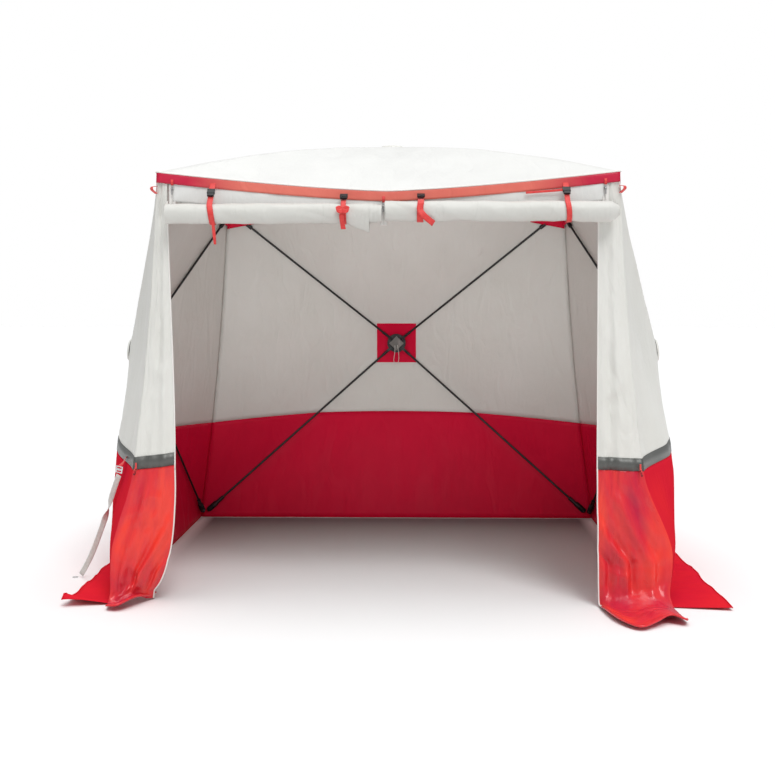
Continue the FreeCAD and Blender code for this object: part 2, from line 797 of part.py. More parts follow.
def make_zip_pull(number, frame):
    """A pull that hangs from the slider's pin."""
    label = f"zip_pull_{number}"
    across = turned(Y_AXIS, 90, Vector(-size("pull_width") / 2, 0, 0))
    eye = add("Part::Cylinder", f"{label}_eye", across,
              Radius="Sizes.zip_eye_radius", Height="Sizes.pull_width")
    low_corner = Vector(-size("pull_width") / 2, -size("pull_thickness") / 2, -size("pull_length"))
    plate = add("Part::Box", f"{label}_plate", turned(Z_AXIS, 0, low_corner),
                Length="Sizes.pull_width", Width="Sizes.pull_thickness", Height="Sizes.pull_length")
    blank = doc.addObject("Part::Fuse", f"{label}_blank")
    blank.Base = eye
    blank.Tool = plate
    hole = add("Part::Cylinder", f"{label}_hole", across,
               Radius="Sizes.zip_pin_radius + Sizes.fit_gap", Height="Sizes.pull_width")
    name_node(cut(label, blank, hole), label).Placement = frame


# --- Hooks, tabs and the storm strap ------------------------------------------------------------------------


def corner_edge_point(end, height):
    """A point of a front corner's edge below its middle."""
    base, middle = corner("front", end, "base"), corner_edge_middle("front", end)
    return base + (middle - base) * (height / middle.z)


def hook_frame(end):
    """A frame in front of a front corner: x along the hook's pin, y away from the cloth, z up."""
    away = Vector(0.3 * end, -1, 0).normalize()
    inset = Vector(-end * size("hook_inset"), 0, 0)
    pin = corner_edge_point(end, size("seam_height")) + inset + away * (size("hook_eye_radius") + 12)
    return Placement(pin, Rotation(away.cross(Z_AXIS), away, Z_AXIS, "XYZ"))


def make_hook(hand, end):
    """A wire hook that hangs from its pin, with the bend at its lower end."""
    label = f"corner_hook_{hand}"
    across = turned(Y_AXIS, 90, Vector(-size("hook_eye_width") / 2, 0, 0))
    eye = add("Part::Cylinder", f"{label}_eye", across,
              Radius="Sizes.hook_eye_radius", Height="Sizes.hook_eye_width")
    drop = 2 * size("hook_bend")
    stem = add("Part::Cylinder", f"{label}_stem", turned(Z_AXIS, 0, Vector(0, 0, -drop)),
               Radius="Sizes.hook_wire", Height="2 * Sizes.hook_bend")
    below = Placement(Vector(0, size("hook_bend"), -drop), Rotation(Y_AXIS, Z_AXIS * -1, X_AXIS * -1, "XYZ"))
    bend = add("Part::Torus", f"{label}_bend", below, Radius1="Sizes.hook_bend", Radius2="Sizes.hook_wire")
    bend.Angle3 = 180
    blank = doc.addObject("Part::MultiFuse", f"{label}_blank")
    blank.Shapes = [eye, stem, bend]
    hole = add("Part::Cylinder", f"{label}_hole", across,
               Radius="Sizes.hook_pin_radius + Sizes.fit_gap", Height="Sizes.hook_eye_width")
    name_node(cut(label, blank, hole), label).Placement = hook_frame(end)


def hook_tab(hand, end):
    """The tab that a hook's pin sits in: a plate on the corner with two cheeks and the pin."""
    frame = hook_frame(end)
    width, thick = size("tab_width"), size("tab_thickness")
    back = -size("hook_eye_radius") - 1 - thick
    plate = Part.makeBox(width, thick, size("tab_length"), Vector(-width / 2, back, -size("hook_eye_radius")))
    cheek = (width - size("hook_eye_width")) / 2 - size("strap_clearance")
    solid = plate
    for start in (-width / 2, width / 2 - cheek):
        block = Part.makeBox(cheek, -back + size("hook_eye_radius"), 2 * size("hook_eye_radius"),
                             Vector(start, back, -size("hook_eye_radius")))
        solid = solid.fuse(block)
    pin = Part.makeCylinder(size("hook_pin_radius"), width, Vector(-width / 2, 0, 0), X_AXIS)
    solid = solid.fuse(pin)
    return moved(solid, frame)


def moved(solid, frame):
    copy = solid.copy()
    copy.Placement = frame.multiply(copy.Placement)
    return copy


def guy_loop(side, end):
    """A loop of webbing that stands out from a top corner."""
    point = corner(side, end, "top")
    away = Vector(point.x, point.y, 0).normalize()
    across = away.cross(Z_AXIS)
    start = point + away * 8 - Z_AXIS * 12
    width, length, thick = size("webbing_width"), size("guy_loop_length"), size("webbing_thickness")
    outer = Part.makeBox(width, length, 3 * thick, Vector(-width / 2, 0, -3 * thick / 2))
    hollow = Part.makeBox(width, length - 4 * thick, thick, Vector(-width / 2, 3 * thick, -thick / 2))
    return moved(outer.cut(hollow), Placement(start, Rotation(across, away, across.cross(away), "XYZ")))


def wall_point(panel, across, height):
    """The place on a wall at a distance along it and a height, and the normal of the facet there."""
    ring, peak = panel_ring(panel), panel_frame(panel).Base
    for here, there in zip(ring, ring[1:] + ring[:1]):
        normal = (here - peak).cross(there - peak).normalize()
        axis = side_vector(panel, 0, 1, 0)
        origin = side_vector(panel, across, 0, height)
        point = origin + axis * ((peak - origin).dot(normal) / axis.dot(normal))
        first = (here - peak).cross(point - peak).dot(normal)
        second = (point - peak).cross(there - peak).dot(normal)
        third = (there - here).cross(point - here).dot(normal)
        if min(first, second, third) >= 0:
            return point, normal if normal.dot(axis) > 0 else normal * -1
    raise ValueError("no facet at that place")


def storm_frame():
    """A frame off the left wall's cloth for the storm strap's buckle: y up the wall, z out and towards the front."""
    point, normal = wall_point("left", -size("storm_place"), size("seam_height") - size("ladder_length"))
    along = normal.cross(Vector(0, -1, 0)).normalize()
    lift = normal * size("storm_lift")
    flat = Rotation(along.cross(normal), along, normal, "XYZ")
    return Placement(point + lift, flat.multiply(Rotation(Y_AXIS, size("storm_turn"))))


def make_tabs():
    """Every webbing tab: guy loops at the top corners, the hooks' tabs and the storm strap's tab."""
    solids = [guy_loop(side, end) for side in ("front", "back") for end in (-1, 1)]
    solids += [hook_tab("left", -1), hook_tab("right", 1)]
    width, thick = size("webbing_width"), size("webbing_thickness")
    tab_start = Vector(-width / 2, size("ladder_length") / 2 + 1, 0)
    tab = Part.makeBox(width, size("tab_length"), thick, tab_start)
    solids.append(moved(tab, storm_frame()))
    add_shape("webbing_tabs", solids)


def make_storm_hardware():
    """The ladder buckle at the strap's top, and the flat ring at its lower end that a peg goes through."""
    width, length, thick = size("ladder_width"), size("ladder_length"), size("ladder_thickness")
    half = Vector(-width / 2, -length / 2, 0)
    buckle = Part.makeBox(width, length, thick, half)
    slot = size("ladder_slot")
    for start in (-length / 4, length / 4):
        buckle = buckle.cut(Part.makeBox(width - 2 * slot, slot, thick,
                                         Vector(slot - width / 2, start - slot / 2, 0)))
    end = STORM_ROUTE[-1]
    place = Vector(end.x - size("ring_radius") - size("webbing_width") / 2, end.y, 0)
    ring = Part.makeCylinder(size("ring_radius"), size("ring_thickness"), place)
    hole = Part.makeCylinder(size("ring_hole_radius"), size("ring_thickness"), place)
    add_shape("storm_strap_hardware", [moved(buckle, storm_frame()), ring.cut(hole)])


def cord_path(route):
    """Straight runs joined by tangent arcs, each as large as its two runs allow, and the arcs' radii."""
    edges, radii = [], []
    start = route[0]
    for before, here, after in zip(route, route[1:], route[2:]):
        into, out = (here - before), (after - here)
        half_turn = into.getAngle(out) / 2
        radius = 0.45 * min(into.Length, out.Length) / math.tan(half_turn)
        setback = radius * math.tan(half_turn)
        first = here - into.normalize() * setback
        last = here + out.normalize() * setback
        inward = (first + last) * 0.5 - here
        bow = here + inward.normalize() * (radius / math.cos(half_turn) - radius)
        edges += [Part.LineSegment(start, first).toShape(), Part.Arc(first, bow, last).toShape()]
        radii.append(round(radius, 1))
        start = last
    edges.append(Part.LineSegment(start, route[-1]).toShape())
    return Part.Wire(edges), radii


def make_cord(label, route, diameter, placement=None):
    """A round cord along a route, with its radii printed and its volume compared with its length."""
    path, radii = cord_path(route)
    start = (route[1] - route[0]).normalize()
    profile = Part.Wire([Part.Circle(route[0], start, diameter / 2).toShape()])
    tube = path.makePipeShell([profile], True, True)
    expected = math.pi * diameter ** 2 / 4 * path.Length
    print(f"{label}: length {path.Length:.1f} radii {radii} volume ratio {tube.Volume / expected:.4f}")
    add_shape(label, [tube], placement)


# --- Build, check, write ------------------------------------------------------------------------------------

make_walls()
make_header()
make_tape()
make_eave_band()
make_patches()
make_skirt()
for hub_panel in CLOTHED + ("roof",):
    make_hub(hub_panel)
    for pole_name, (pole_angle, pole_target) in pole_directions(hub_panel).items():
        make_pole(hub_panel, pole_name, pole_angle, pole_target)
for roll_hand in ("left", "right"):
    make_roll(roll_hand)
add_shape("roll_straps", [strap_solid(place) for place in STRAP_PLACES])
make_buckles()
make_zips()
make_hook("left", -1)
make_hook("right", 1)
make_tabs()
make_storm_hardware()
make_cord("storm_strap", STORM_ROUTE, size("webbing_width"))
make_cord("hub_pull_cord", LOOP_ROUTE, size("cord_diameter"), panel_frame("back"))

doc.recompute()
failed = [item.Name for item in doc.Objects if {"Invalid", "Error"} & set(item.State)]
if failed:
    raise RuntimeError(f"failed objects: {failed}")
for node_label, node_object in nodes.items():
    if node_object.Shape.isNull() or not node_object.Shape.isValid():
        raise RuntimeError(f"bad shape: {node_label}")

os.makedirs("parts", exist_ok=True)
for node_label, node_object in nodes.items():
    node_object.Shape.exportStep(f"parts/{node_label}.step")
print(f"{len(nodes)} nodes")
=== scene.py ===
import json
import math

import bmesh
import bpy
import numpy as np
from mathutils import Matrix, Vector, noise


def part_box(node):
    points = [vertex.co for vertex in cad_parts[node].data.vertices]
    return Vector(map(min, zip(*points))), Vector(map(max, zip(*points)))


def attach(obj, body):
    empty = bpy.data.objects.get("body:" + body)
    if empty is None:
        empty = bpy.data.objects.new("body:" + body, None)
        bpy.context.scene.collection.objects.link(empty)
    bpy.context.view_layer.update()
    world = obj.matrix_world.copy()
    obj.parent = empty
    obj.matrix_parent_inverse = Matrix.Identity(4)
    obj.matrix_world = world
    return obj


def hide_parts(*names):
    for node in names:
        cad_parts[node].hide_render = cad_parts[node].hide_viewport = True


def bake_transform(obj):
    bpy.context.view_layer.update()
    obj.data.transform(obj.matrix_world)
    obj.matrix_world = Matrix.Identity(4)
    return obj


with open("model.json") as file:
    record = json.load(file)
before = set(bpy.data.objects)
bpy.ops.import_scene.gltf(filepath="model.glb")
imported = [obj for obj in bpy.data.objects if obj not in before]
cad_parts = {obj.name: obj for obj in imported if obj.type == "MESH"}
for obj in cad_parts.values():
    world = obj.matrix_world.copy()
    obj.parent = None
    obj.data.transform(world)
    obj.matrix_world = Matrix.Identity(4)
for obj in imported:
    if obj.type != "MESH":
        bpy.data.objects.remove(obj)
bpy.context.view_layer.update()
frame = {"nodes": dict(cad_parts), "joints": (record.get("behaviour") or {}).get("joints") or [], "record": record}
JOINTS = {joint["name"]: joint for joint in frame["joints"]}

# A pop-up shelter. Metres, +Z up, the door on the -Y side. Each wall and the roof is cloth that a hub
# pushes outwards.

WALLS = ("back", "left", "right")
PANELS = WALLS + ("roof",)
ENDS = ((-1, "left"), (1, "right"))
UP = Vector((0, 0, 1))
RIGHT = Vector((1, 0, 0))
# Along each side, and outwards from it.
SIDES = {
    "front": (RIGHT, Vector((0, -1, 0))),
    "right": (Vector((0, 1, 0)), RIGHT),
    "back": (Vector((-1, 0, 0)), Vector((0, 1, 0))),
    "left": (Vector((0, -1, 0)), Vector((-1, 0, 0))),
}

# The tent's outline, read from the frame.
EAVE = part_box("front_wings")[1].z
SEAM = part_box("left_wall")[0].z
TAPE_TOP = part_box("reflective_tape")[1].z
TAPE_WIDTH = TAPE_TOP - SEAM
BASE_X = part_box("front_bases")[1].x
BASE_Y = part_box("left_base")[1].y
TOP_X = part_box("roof_cover")[1].x
TOP_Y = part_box("roof_cover")[1].y
FRONT_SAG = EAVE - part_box("roof_cover")[0].z
SIDE_SAG = 0.75 * FRONT_SAG
DOOR_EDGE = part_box("door_header")[1].x

# Depths of the strips along the eaves.
BAND = 0.042
HEADER = 0.115
HEADER_HALF = DOOR_EDGE + 0.012
# How far the cloth draws the eaves' middles and the corner edges inwards.
EAVE_PULL = 0.02
CORNER_PULL = 0.029
# How far the seam rises at a wall's middle, and along a front wing to the door's edge.
SEAM_RISE = {"back": 0.05, "left": 0.03, "right": 0.03}
WING_SEAM_RISE = {-1: 0.022, 1: 0.008}
# The flat disc of cloth at a hub, and the looseness of the cloth: how far it sags between the poles, how
# high its creases are and how broad, and how far a side wall billows near its front corner.
HUB_DISC = 0.058
WALL_SAG = 0.016
WALL_CREASE = 0.0045
CREASE_SIZE = 0.42
BILLOW = {"left": 0.042, "right": 0.072}
# The heights of a wall's foot and of cloth that lies on the ground, and the tape's reach below the seam.
WALL_FOOT = 0.002
CLOTH_ON_GROUND = 0.0025
TAPE_LAP = 0.003
# Where the wings' piping ends, behind the rolls.
PIPING_TOP = 1.69
# Thicknesses and radii.
CLOTH = 0.0009
PIPING_RADIUS = 0.0032
EAVE_PIPING_RADIUS = 0.0036
BASE_HEM_RADIUS = 0.0045
SKIRT_HEM_RADIUS = 0.0028
# How far a cap's middle and each sewn layer lie outside the cloth's outer face.
CAP_LIFT = 0.006
TAPE_LIFT = 0.0018
WING_TAPE_LIFT = 0.0024
BAND_LIFT = 0.0012
PATCH_LIFT = -0.003
POCKET_LIFT = -0.004
BINDING_LIFT = -0.0044


def hub_axis(panel):
    return Vector(JOINTS[f"{panel}_hub_pop"]["axis"])


def box_middle(node):
    low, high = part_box(node)
    return (low + high) / 2


def hub_peak(panel):
    """Where a hub's axis meets the cloth, from the middle of its cap."""
    return box_middle(f"{panel}_hub_cap") - hub_axis(panel) * CAP_LIFT


PEAKS = {panel: hub_peak(panel) for panel in PANELS}


# --- Camera and cords ---

camera_data = bpy.data.cameras.new("camera")
camera_data.sensor_width = 36
camera_data.lens = 60.2
camera = bpy.data.objects.new("camera", camera_data)
camera.location = (0.125, -6.464, 1.268)
camera.rotation_euler = (math.radians(90 - 3.76), 0, math.radians(1.31))
bpy.context.scene.collection.objects.link(camera)
bpy.context.scene.camera = camera
bpy.context.scene.view_settings.view_transform = "Standard"


def vectors(*places):
    return [Vector(place) for place in places]


def link(obj):
    bpy.context.scene.collection.objects.link(obj)
    return obj


def smooth_route(name, points):
    """Points read along one smooth NURBS line whose control points are the route's."""
    curve = bpy.data.curves.new(name, "CURVE")
    curve.dimensions = "3D"
    curve.resolution_u = 10
    spline = curve.splines.new("NURBS")
    spline.points.add(len(points) - 1)
    for point, place in zip(spline.points, points):
        point.co = (*place, 1)
    spline.order_u = 3
    spline.use_endpoint_u = True
    holder = bpy.data.objects.new(name, curve)
    mesh = bpy.data.meshes.new_from_object(holder)
    route = [vertex.co.copy() for vertex in mesh.vertices]
    bpy.data.objects.remove(holder)
    bpy.data.curves.remove(curve)
    bpy.data.meshes.remove(mesh)
    return route


def tangents(route):
    ends = [route[0]] + list(route) + [route[-1]]
    return [(after - before).normalized() for before, after in zip(ends, ends[2:])]


# --- Meshes ---


def make_mesh(name, vertices, faces, uvs=None, smooth=True):
    mesh = bpy.data.meshes.new(name)
    mesh.from_pydata([tuple(vertex) for vertex in vertices], [], faces)
    if uvs is not None:
        layer = mesh.uv_layers.new(name="metres")
        for loop in mesh.loops:
            layer.data[loop.index].uv = uvs[loop.vertex_index]
    mesh.polygons.foreach_set("use_smooth", [smooth] * len(mesh.polygons))
    mesh.update()
    return link(bpy.data.objects.new(name, mesh))


def grid_mesh(name, rows, uvs=None, closed=False):
    """A sheet through rows of points; closed joins each row's end to its start."""
    count = len(rows[0])
    span = count if closed else count - 1
    vertices = [point for row in rows for point in row]
    faces = []
    for r in range(len(rows) - 1):
        for c in range(span):
            d = (c + 1) % count
            faces.append((r * count + c, r * count + d, (r + 1) * count + d, (r + 1) * count + c))
    flat_uvs = None if uvs is None else [uv for row in uvs for uv in row]
    return make_mesh(name, vertices, faces, flat_uvs)


def thicken(obj, thickness=CLOTH, offset=-1.0):
    """Gives a sheet its thickness, inwards from its outer face unless the offset says otherwise."""
    solid = obj.modifiers.new("thickness", "SOLIDIFY")
    solid.thickness = thickness
    solid.offset = offset
    solid.use_even_offset = False
    return obj


def cloth_mesh(name, columns, rows, point, uv):
    """A sheet through point(c, r) at every column and row. rows is a list, or gives each column its own."""
    if callable(rows):
        places = list(zip(*[[(c, r) for r in rows(c)] for c in columns]))
    else:
        places = [[(c, r) for c in columns] for r in rows]
    return grid_mesh(name, [[point(c, r) for c, r in row] for row in places],
                     [[uv(c, r) for c, r in row] for row in places])


def ring(centre, side, other, radius, count):
    """Points round a circle in the plane of side and other."""
    angles = [2 * math.pi * n / count for n in range(count)]
    return [centre + (side * math.cos(a) + other * math.sin(a)) * radius for a in angles]


def tube_mesh(name, route, radius, sides):
    """A round tube along a route, closed at both ends. radius is a number or one number for each point."""
    radii = [radius] * len(route) if isinstance(radius, (int, float)) else radius
    rows = []
    side = None
    for point, ahead, size in zip(route, tangents(route), radii):
        if side is None:
            side = ahead.cross(UP if abs(ahead.z) < 0.9 else RIGHT).normalized()
        side = (side - ahead * side.dot(ahead)).normalized()
        rows.append(ring(point, side, ahead.cross(side), size, sides))
    obj = grid_mesh(name, rows, closed=True)
    cap_ends(obj)
    return obj


def cap_ends(obj):
    """Closes every open edge loop of a mesh and turns its faces outwards."""
    bm = bmesh.new()
    bm.from_mesh(obj.data)
    bmesh.ops.holes_fill(bm, edges=[edge for edge in bm.edges if edge.is_boundary])
    bmesh.ops.recalc_face_normals(bm, faces=bm.faces)
    bm.to_mesh(obj.data)
    bm.free()


def ribbon_mesh(name, route, sides_of, width, thickness=0.0014):
    """Webbing along a route. sides_of holds the direction across the webbing at each point."""
    rows, uvs = [], []
    run = 0
    steps = (-0.5, -0.25, 0, 0.25, 0.5)
    for number, (point, across) in enumerate(zip(route, sides_of)):
        run += (point - route[number - 1]).length if number else 0
        rows.append([point + across * (width * step) for step in steps])
        uvs.append([(width * step, run) for step in steps])
    obj = grid_mesh(name, rows, uvs)
    return thicken(obj, thickness, 0)


def join(name, objects):
    """One piece made of several meshes."""
    for obj in objects:
        if obj.modifiers:
            depsgraph = bpy.context.evaluated_depsgraph_get()
            mesh = bpy.data.meshes.new_from_object(obj.evaluated_get(depsgraph))
            obj.modifiers.clear()
            obj.data = mesh
    bpy.ops.object.select_all(action="DESELECT")
    for obj in objects:
        obj.select_set(True)
    bpy.context.view_layer.objects.active = objects[0]
    bpy.ops.object.join()
    objects[0].name = name
    return objects[0]


def lerp(a, b, t):
    return a + (b - a) * t


def ease(t):
    t = min(max(t, 0.0), 1.0)
    return t * t * (3 - 2 * t)


# --- Materials ---


class Shader:
    """A Principled material and its node tree, with short ways to add nodes."""

    def __init__(self, name, color, roughness, **settings):
        self.material = bpy.data.materials.new(name)
        self.material.use_nodes = True
        self.tree = self.material.node_tree
        self.main = self.tree.nodes["Principled BSDF"]
        self.color = (*color, 1)
        self.main.inputs["Base Color"].default_value = self.color
        self.main.inputs["Roughness"].default_value = roughness
        for socket, value in settings.items():
            self.main.inputs[socket.replace("_", " ")].default_value = value
        self.height = None

    def node(self, kind, **settings):
        made = self.tree.nodes.new(kind)
        for name, value in settings.items():
            if name in made.inputs:
                made.inputs[name].default_value = value
            else:
                setattr(made, name, value)
        return made

    def wire(self, source, target):
        self.tree.links.new(source, target)

    def coordinates(self, kind, stretch=(1, 1, 1), turn=0.0):
        """Texture coordinates in metres: UV for cloth, Object for the carried-over parts."""
        place = self.node("ShaderNodeTexCoord")
        mapping = self.node("ShaderNodeMapping")
        mapping.inputs["Scale"].default_value = stretch
        mapping.inputs["Rotation"].default_value = (0, 0, turn)
        self.wire(place.outputs[kind], mapping.inputs["Vector"])
        return mapping.outputs["Vector"]

    def noise(self, vector, scale, detail=3.0, distortion=0.0):
        made = self.node("ShaderNodeTexNoise", Scale=scale, Detail=detail, Distortion=distortion)
        self.wire(vector, made.inputs["Vector"])
        return made.outputs["Fac"]

    def span(self, value, low, high, start=0.0, end=1.0):
        """The value moved from the range low..high to start..end."""
        made = self.node("ShaderNodeMapRange")
        for name, number in (("From Min", low), ("From Max", high), ("To Min", start), ("To Max", end)):
            made.inputs[name].default_value = number
        self.wire(value, made.inputs["Value"])
        return made.outputs["Result"]

    def math(self, operation, first, second):
        made = self.node("ShaderNodeMath", operation=operation)
        for socket, value in zip(made.inputs, (first, second)):
            if isinstance(value, (int, float)):
                socket.default_value = value
            else:
                self.wire(value, socket)
        return made.outputs["Value"]

    def tint(self, factor, color):
        """Mixes another colour into the base where the factor is high."""
        mix = self.node("ShaderNodeMix", data_type="RGBA")
        base = self.main.inputs["Base Color"]
        mix.inputs[6].default_value = self.color
        if base.is_linked:
            self.wire(base.links[0].from_socket, mix.inputs[6])
        mix.inputs[7].default_value = (*color, 1)
        self.wire(factor, mix.inputs["Factor"])
        self.wire(mix.outputs[2], base)

    def rough(self, factor, low, high):
        self.wire(self.span(factor, 0.3, 0.7, low, high), self.main.inputs["Roughness"])

    def bump(self, height, distance, strength=1.0):
        made = self.node("ShaderNodeBump", Distance=distance, Strength=strength)
        self.wire(height, made.inputs["Height"])
        if self.height is not None:
            self.wire(self.height, made.inputs["Normal"])
        self.height = made.outputs["Normal"]
        self.wire(self.height, self.main.inputs["Normal"])

    def weave(self, vector, threads):
        """Crossed threads, threads to the metre."""
        waves = []
        for direction in ("X", "Y"):
            wave = self.node("ShaderNodeTexWave", bands_direction=direction, Scale=threads / 20)
            self.wire(vector, wave.inputs["Vector"])
            waves.append(wave.outputs["Fac"])
        return self.math("MULTIPLY", *waves)


def coated_cloth(name, color, deep, roughness, creases, coat, specular=0.3, patches=0.55, corners=None,
                 shade_streaks=(1, 1, 1)):
    """Woven cloth with a coating: fine threads, crisp small creases and soft uneven patches of colour.

    corners is the colour of an eave band's ends: painted shade where the band lies bunched up.
    The last argument stretches the patches into streaks; strong streaks of the deep colour are painted fold shade.
    """
    shader = Shader(name, color, roughness, Coat_Weight=coat, Coat_Roughness=0.2, Specular_IOR_Level=specular)
    uv = shader.coordinates("UV")
    slant = shader.coordinates("UV", (2.2, 0.9, 1), 0.6)
    # Patches of the deep colour: random tone, and painted fold shade where they are strong and stretched into
    # streaks.
    broad = shader.noise(shader.coordinates("UV", shade_streaks), 2.6, 4)
    shader.tint(shader.span(broad, 0.35, 0.75, 0, patches), deep)
    if corners is not None:
        split = shader.node("ShaderNodeSeparateXYZ")
        shader.wire(uv, split.inputs["Vector"])
        # Darker crimson towards the band's ends: painted shade where the band lies bunched up.
        shader.tint(shader.span(shader.math("ABSOLUTE", split.outputs["X"], 0), 0.6, 0.84), corners)
    folds = shader.noise(slant, 4.2, 3, 0.7)
    ridge = shader.math("ABSOLUTE", shader.math("SUBTRACT", folds, 0.5), 0)
    shader.bump(shader.span(ridge, 0.0, 0.2), creases)
    shader.bump(shader.noise(uv, 26, 4, 0.3), creases * 0.45)
    shader.bump(shader.weave(uv, 900), 0.0002, 0.5)
    shader.rough(folds, roughness - 0.07, roughness + 0.08)
    return shader.material


def webbing_material(name, color, deep):
    """Narrow woven tape: ribs across it and uneven tone."""
    shader = Shader(name, color, 0.62, Sheen_Weight=0.25)
    uv = shader.coordinates("UV")
    shader.tint(shader.span(shader.noise(uv, 60, 3), 0.35, 0.7, 0, 0.6), deep)
    shader.bump(shader.weave(uv, 700), 0.0006, 0.8)
    return shader.material


def plastic(name, color, roughness, grain):
    shader = Shader(name, color, roughness, Specular_IOR_Level=0.25)
    place = shader.coordinates("Object")
    speckle = shader.noise(place, 900, 2)
    worn = tuple(c * 2.2 + 0.006 for c in color)
    shader.tint(shader.span(shader.noise(place, 35, 3), 0.45, 0.8, 0, 0.5), worn)
    shader.rough(shader.noise(place, 60, 4), roughness - 0.08, roughness + 0.12)
    shader.bump(speckle, grain)
    return shader.material


def metal(name, color, roughness):
    shader = Shader(name, color, roughness, Metallic=1.0)
    wear = shader.noise(shader.coordinates("Object"), 160, 5)
    shader.tint(shader.span(wear, 0.45, 0.75, 0, 0.6), tuple(c * 0.55 for c in color))
    shader.rough(wear, max(roughness - 0.1, 0.05), roughness + 0.15)
    shader.bump(wear, 0.0001)
    return shader.material


def rod_material(name):
    """Drawn glass-fibre rod: a fine grain and a dull sheen."""
    shader = Shader(name, (0.012, 0.012, 0.013), 0.38)
    place = shader.coordinates("Object")
    shader.rough(shader.noise(place, 90, 4), 0.3, 0.5)
    shader.bump(shader.noise(place, 700, 3), 0.00015)
    return shader.material


def tape_material(name):
    """Glass-bead tape: grey, with a close honeycomb and a soft metallic sheen."""
    shader = Shader(name, (0.115, 0.118, 0.11), 0.42, Metallic=0.35)
    uv = shader.coordinates("UV")
    cells = shader.node("ShaderNodeTexVoronoi", Scale=260.0, feature="DISTANCE_TO_EDGE")
    shader.wire(uv, cells.inputs["Vector"])
    shader.tint(shader.span(cells.outputs["Distance"], 0.0, 0.08, 0.5, 0), (0.07, 0.07, 0.068))
    shader.tint(shader.span(shader.noise(uv, 9, 4), 0.45, 0.7, 0, 0.4), (0.17, 0.17, 0.16))
    shader.bump(cells.outputs["Distance"], 0.0003)
    return shader.material


WHITE = coated_cloth("white_cloth", (0.745, 0.74, 0.70), (0.66, 0.655, 0.605), 0.5, 0.0026, 0.05)
# A lighter copy of the white cloth for the roof and the door header: painted light on the roof, and on the header
# where it lies in shade.
LIT_ROOF_WHITE = coated_cloth("roof_cloth", (0.79, 0.79, 0.77), (0.72, 0.72, 0.70), 0.5, 0.0018, 0.05)
# A darker copy of the white cloth for the rolled door leaves: painted shade that keeps the rolls from washing out
# under the top light.
SHADED_LEAF_WHITE = coated_cloth("leaf_cloth", (0.655, 0.65, 0.615), (0.58, 0.575, 0.53), 0.5, 0.0026, 0.05)
RED = coated_cloth("red_cloth", (0.68, 0.02, 0.032), (0.52, 0.006, 0.04), 0.5, 0.002, 0.0, 0.0)
# A brighter, glossier copy of the red cloth for the front bases: the brighter colour is painted light on the
# sunlit front, and its strong streaked crimson patches are painted fold shade.
LIT_GLOSS_RED = coated_cloth("gloss_red_cloth", (0.88, 0.05, 0.032), (0.52, 0.006, 0.045), 0.32, 0.004, 0.25,
                         patches=1.3, shade_streaks=(3.2, 0.8, 1))
# A deeper crimson copy of the red cloth for what is seen inside the tent, such as the red walls' inner faces, the
# hub patches and the pockets: painted shade.
SHADED_INSIDE_RED = coated_cloth("red_inside_painted_shade", (0.72, 0.006, 0.045), (0.6, 0.004, 0.035), 0.5, 0.0016, 0.0, 0.1)
# The eave bands' cloth; the darker crimson at their ends is painted shade.
TRIM_RED = coated_cloth("trim_red", (0.80, 0.2, 0.15), (0.66, 0.07, 0.06), 0.45, 0.0022, 0.08,
                        corners=(0.55, 0.012, 0.05))
PIPING = coated_cloth("white_piping", (0.85, 0.83, 0.80), (0.76, 0.72, 0.68), 0.55, 0.0005, 0.0)
TAPE = tape_material("reflective_tape")
RED_WEBBING = webbing_material("red_webbing", (0.76, 0.05, 0.04), (0.56, 0.015, 0.03))
WHITE_WEBBING = webbing_material("white_webbing", (0.66, 0.65, 0.61), (0.5, 0.49, 0.46))
CORD = webbing_material("white_cord", (0.78, 0.77, 0.73), (0.6, 0.59, 0.55))
BRIGHT = metal("bright_metal", (0.82, 0.82, 0.82), 0.16)
ZIP_METAL = metal("zip_metal", (0.5, 0.5, 0.5), 0.34)
BUCKLE = plastic("buckle_plastic", (0.014, 0.014, 0.015), 0.34, 0.00008)
HOOK = plastic("hook_steel", (0.016, 0.016, 0.017), 0.36, 0.00005)
HUB_PLASTIC = plastic("hub_plastic", (0.012, 0.012, 0.013), 0.46, 0.00015)
HUB_STEEL = plastic("hub_steel", (0.17, 0.16, 0.15), 0.55, 0.00008)
ROD = rod_material("pole_fibreglass")
SLOT_MATERIALS = {
    "bright_metal": BRIGHT,
    "zip_metal": ZIP_METAL,
    "buckle_plastic": BUCKLE,
    "hook_steel": HOOK,
    "hub_plastic": HUB_PLASTIC,
    "hub_steel": HUB_STEEL,
    "pole_fibreglass": ROD,
}


def dress(obj, material):
    obj.data.materials.clear()
    obj.data.materials.append(material)
    return obj


def shade_inside(cloth):
    """Gives a thickened red cloth's inner face a darker crimson copy of the red: painted shade for the inside of
    the tent.
    """
    cloth.data.materials.append(SHADED_INSIDE_RED)
    cloth.modifiers["thickness"].material_offset = 1


# --- Shape of the tent ---


def along_x(side):
    return side in ("front", "back")


def half_span(side, z):
    base, top = (BASE_X, TOP_X) if along_x(side) else (BASE_Y, TOP_Y)
    return lerp(base, top, z / EAVE)


def reach(side, z):
    base, top = (BASE_Y, TOP_Y) if along_x(side) else (BASE_X, TOP_X)
    return lerp(base, top, z / EAVE)


def corner_pull(z):
    """How far the cloth draws a corner edge inwards at a height."""
    t = z / EAVE
    return 4 * t * (1 - t) * CORNER_PULL


def eave_height(side, s):
    """The eave's height at s, which runs from -1 to 1 along the side."""
    if side == "front":
        return EAVE - FRONT_SAG * (1 - abs(s) ** 1.35)
    return EAVE - SIDE_SAG * (1 - s * s)


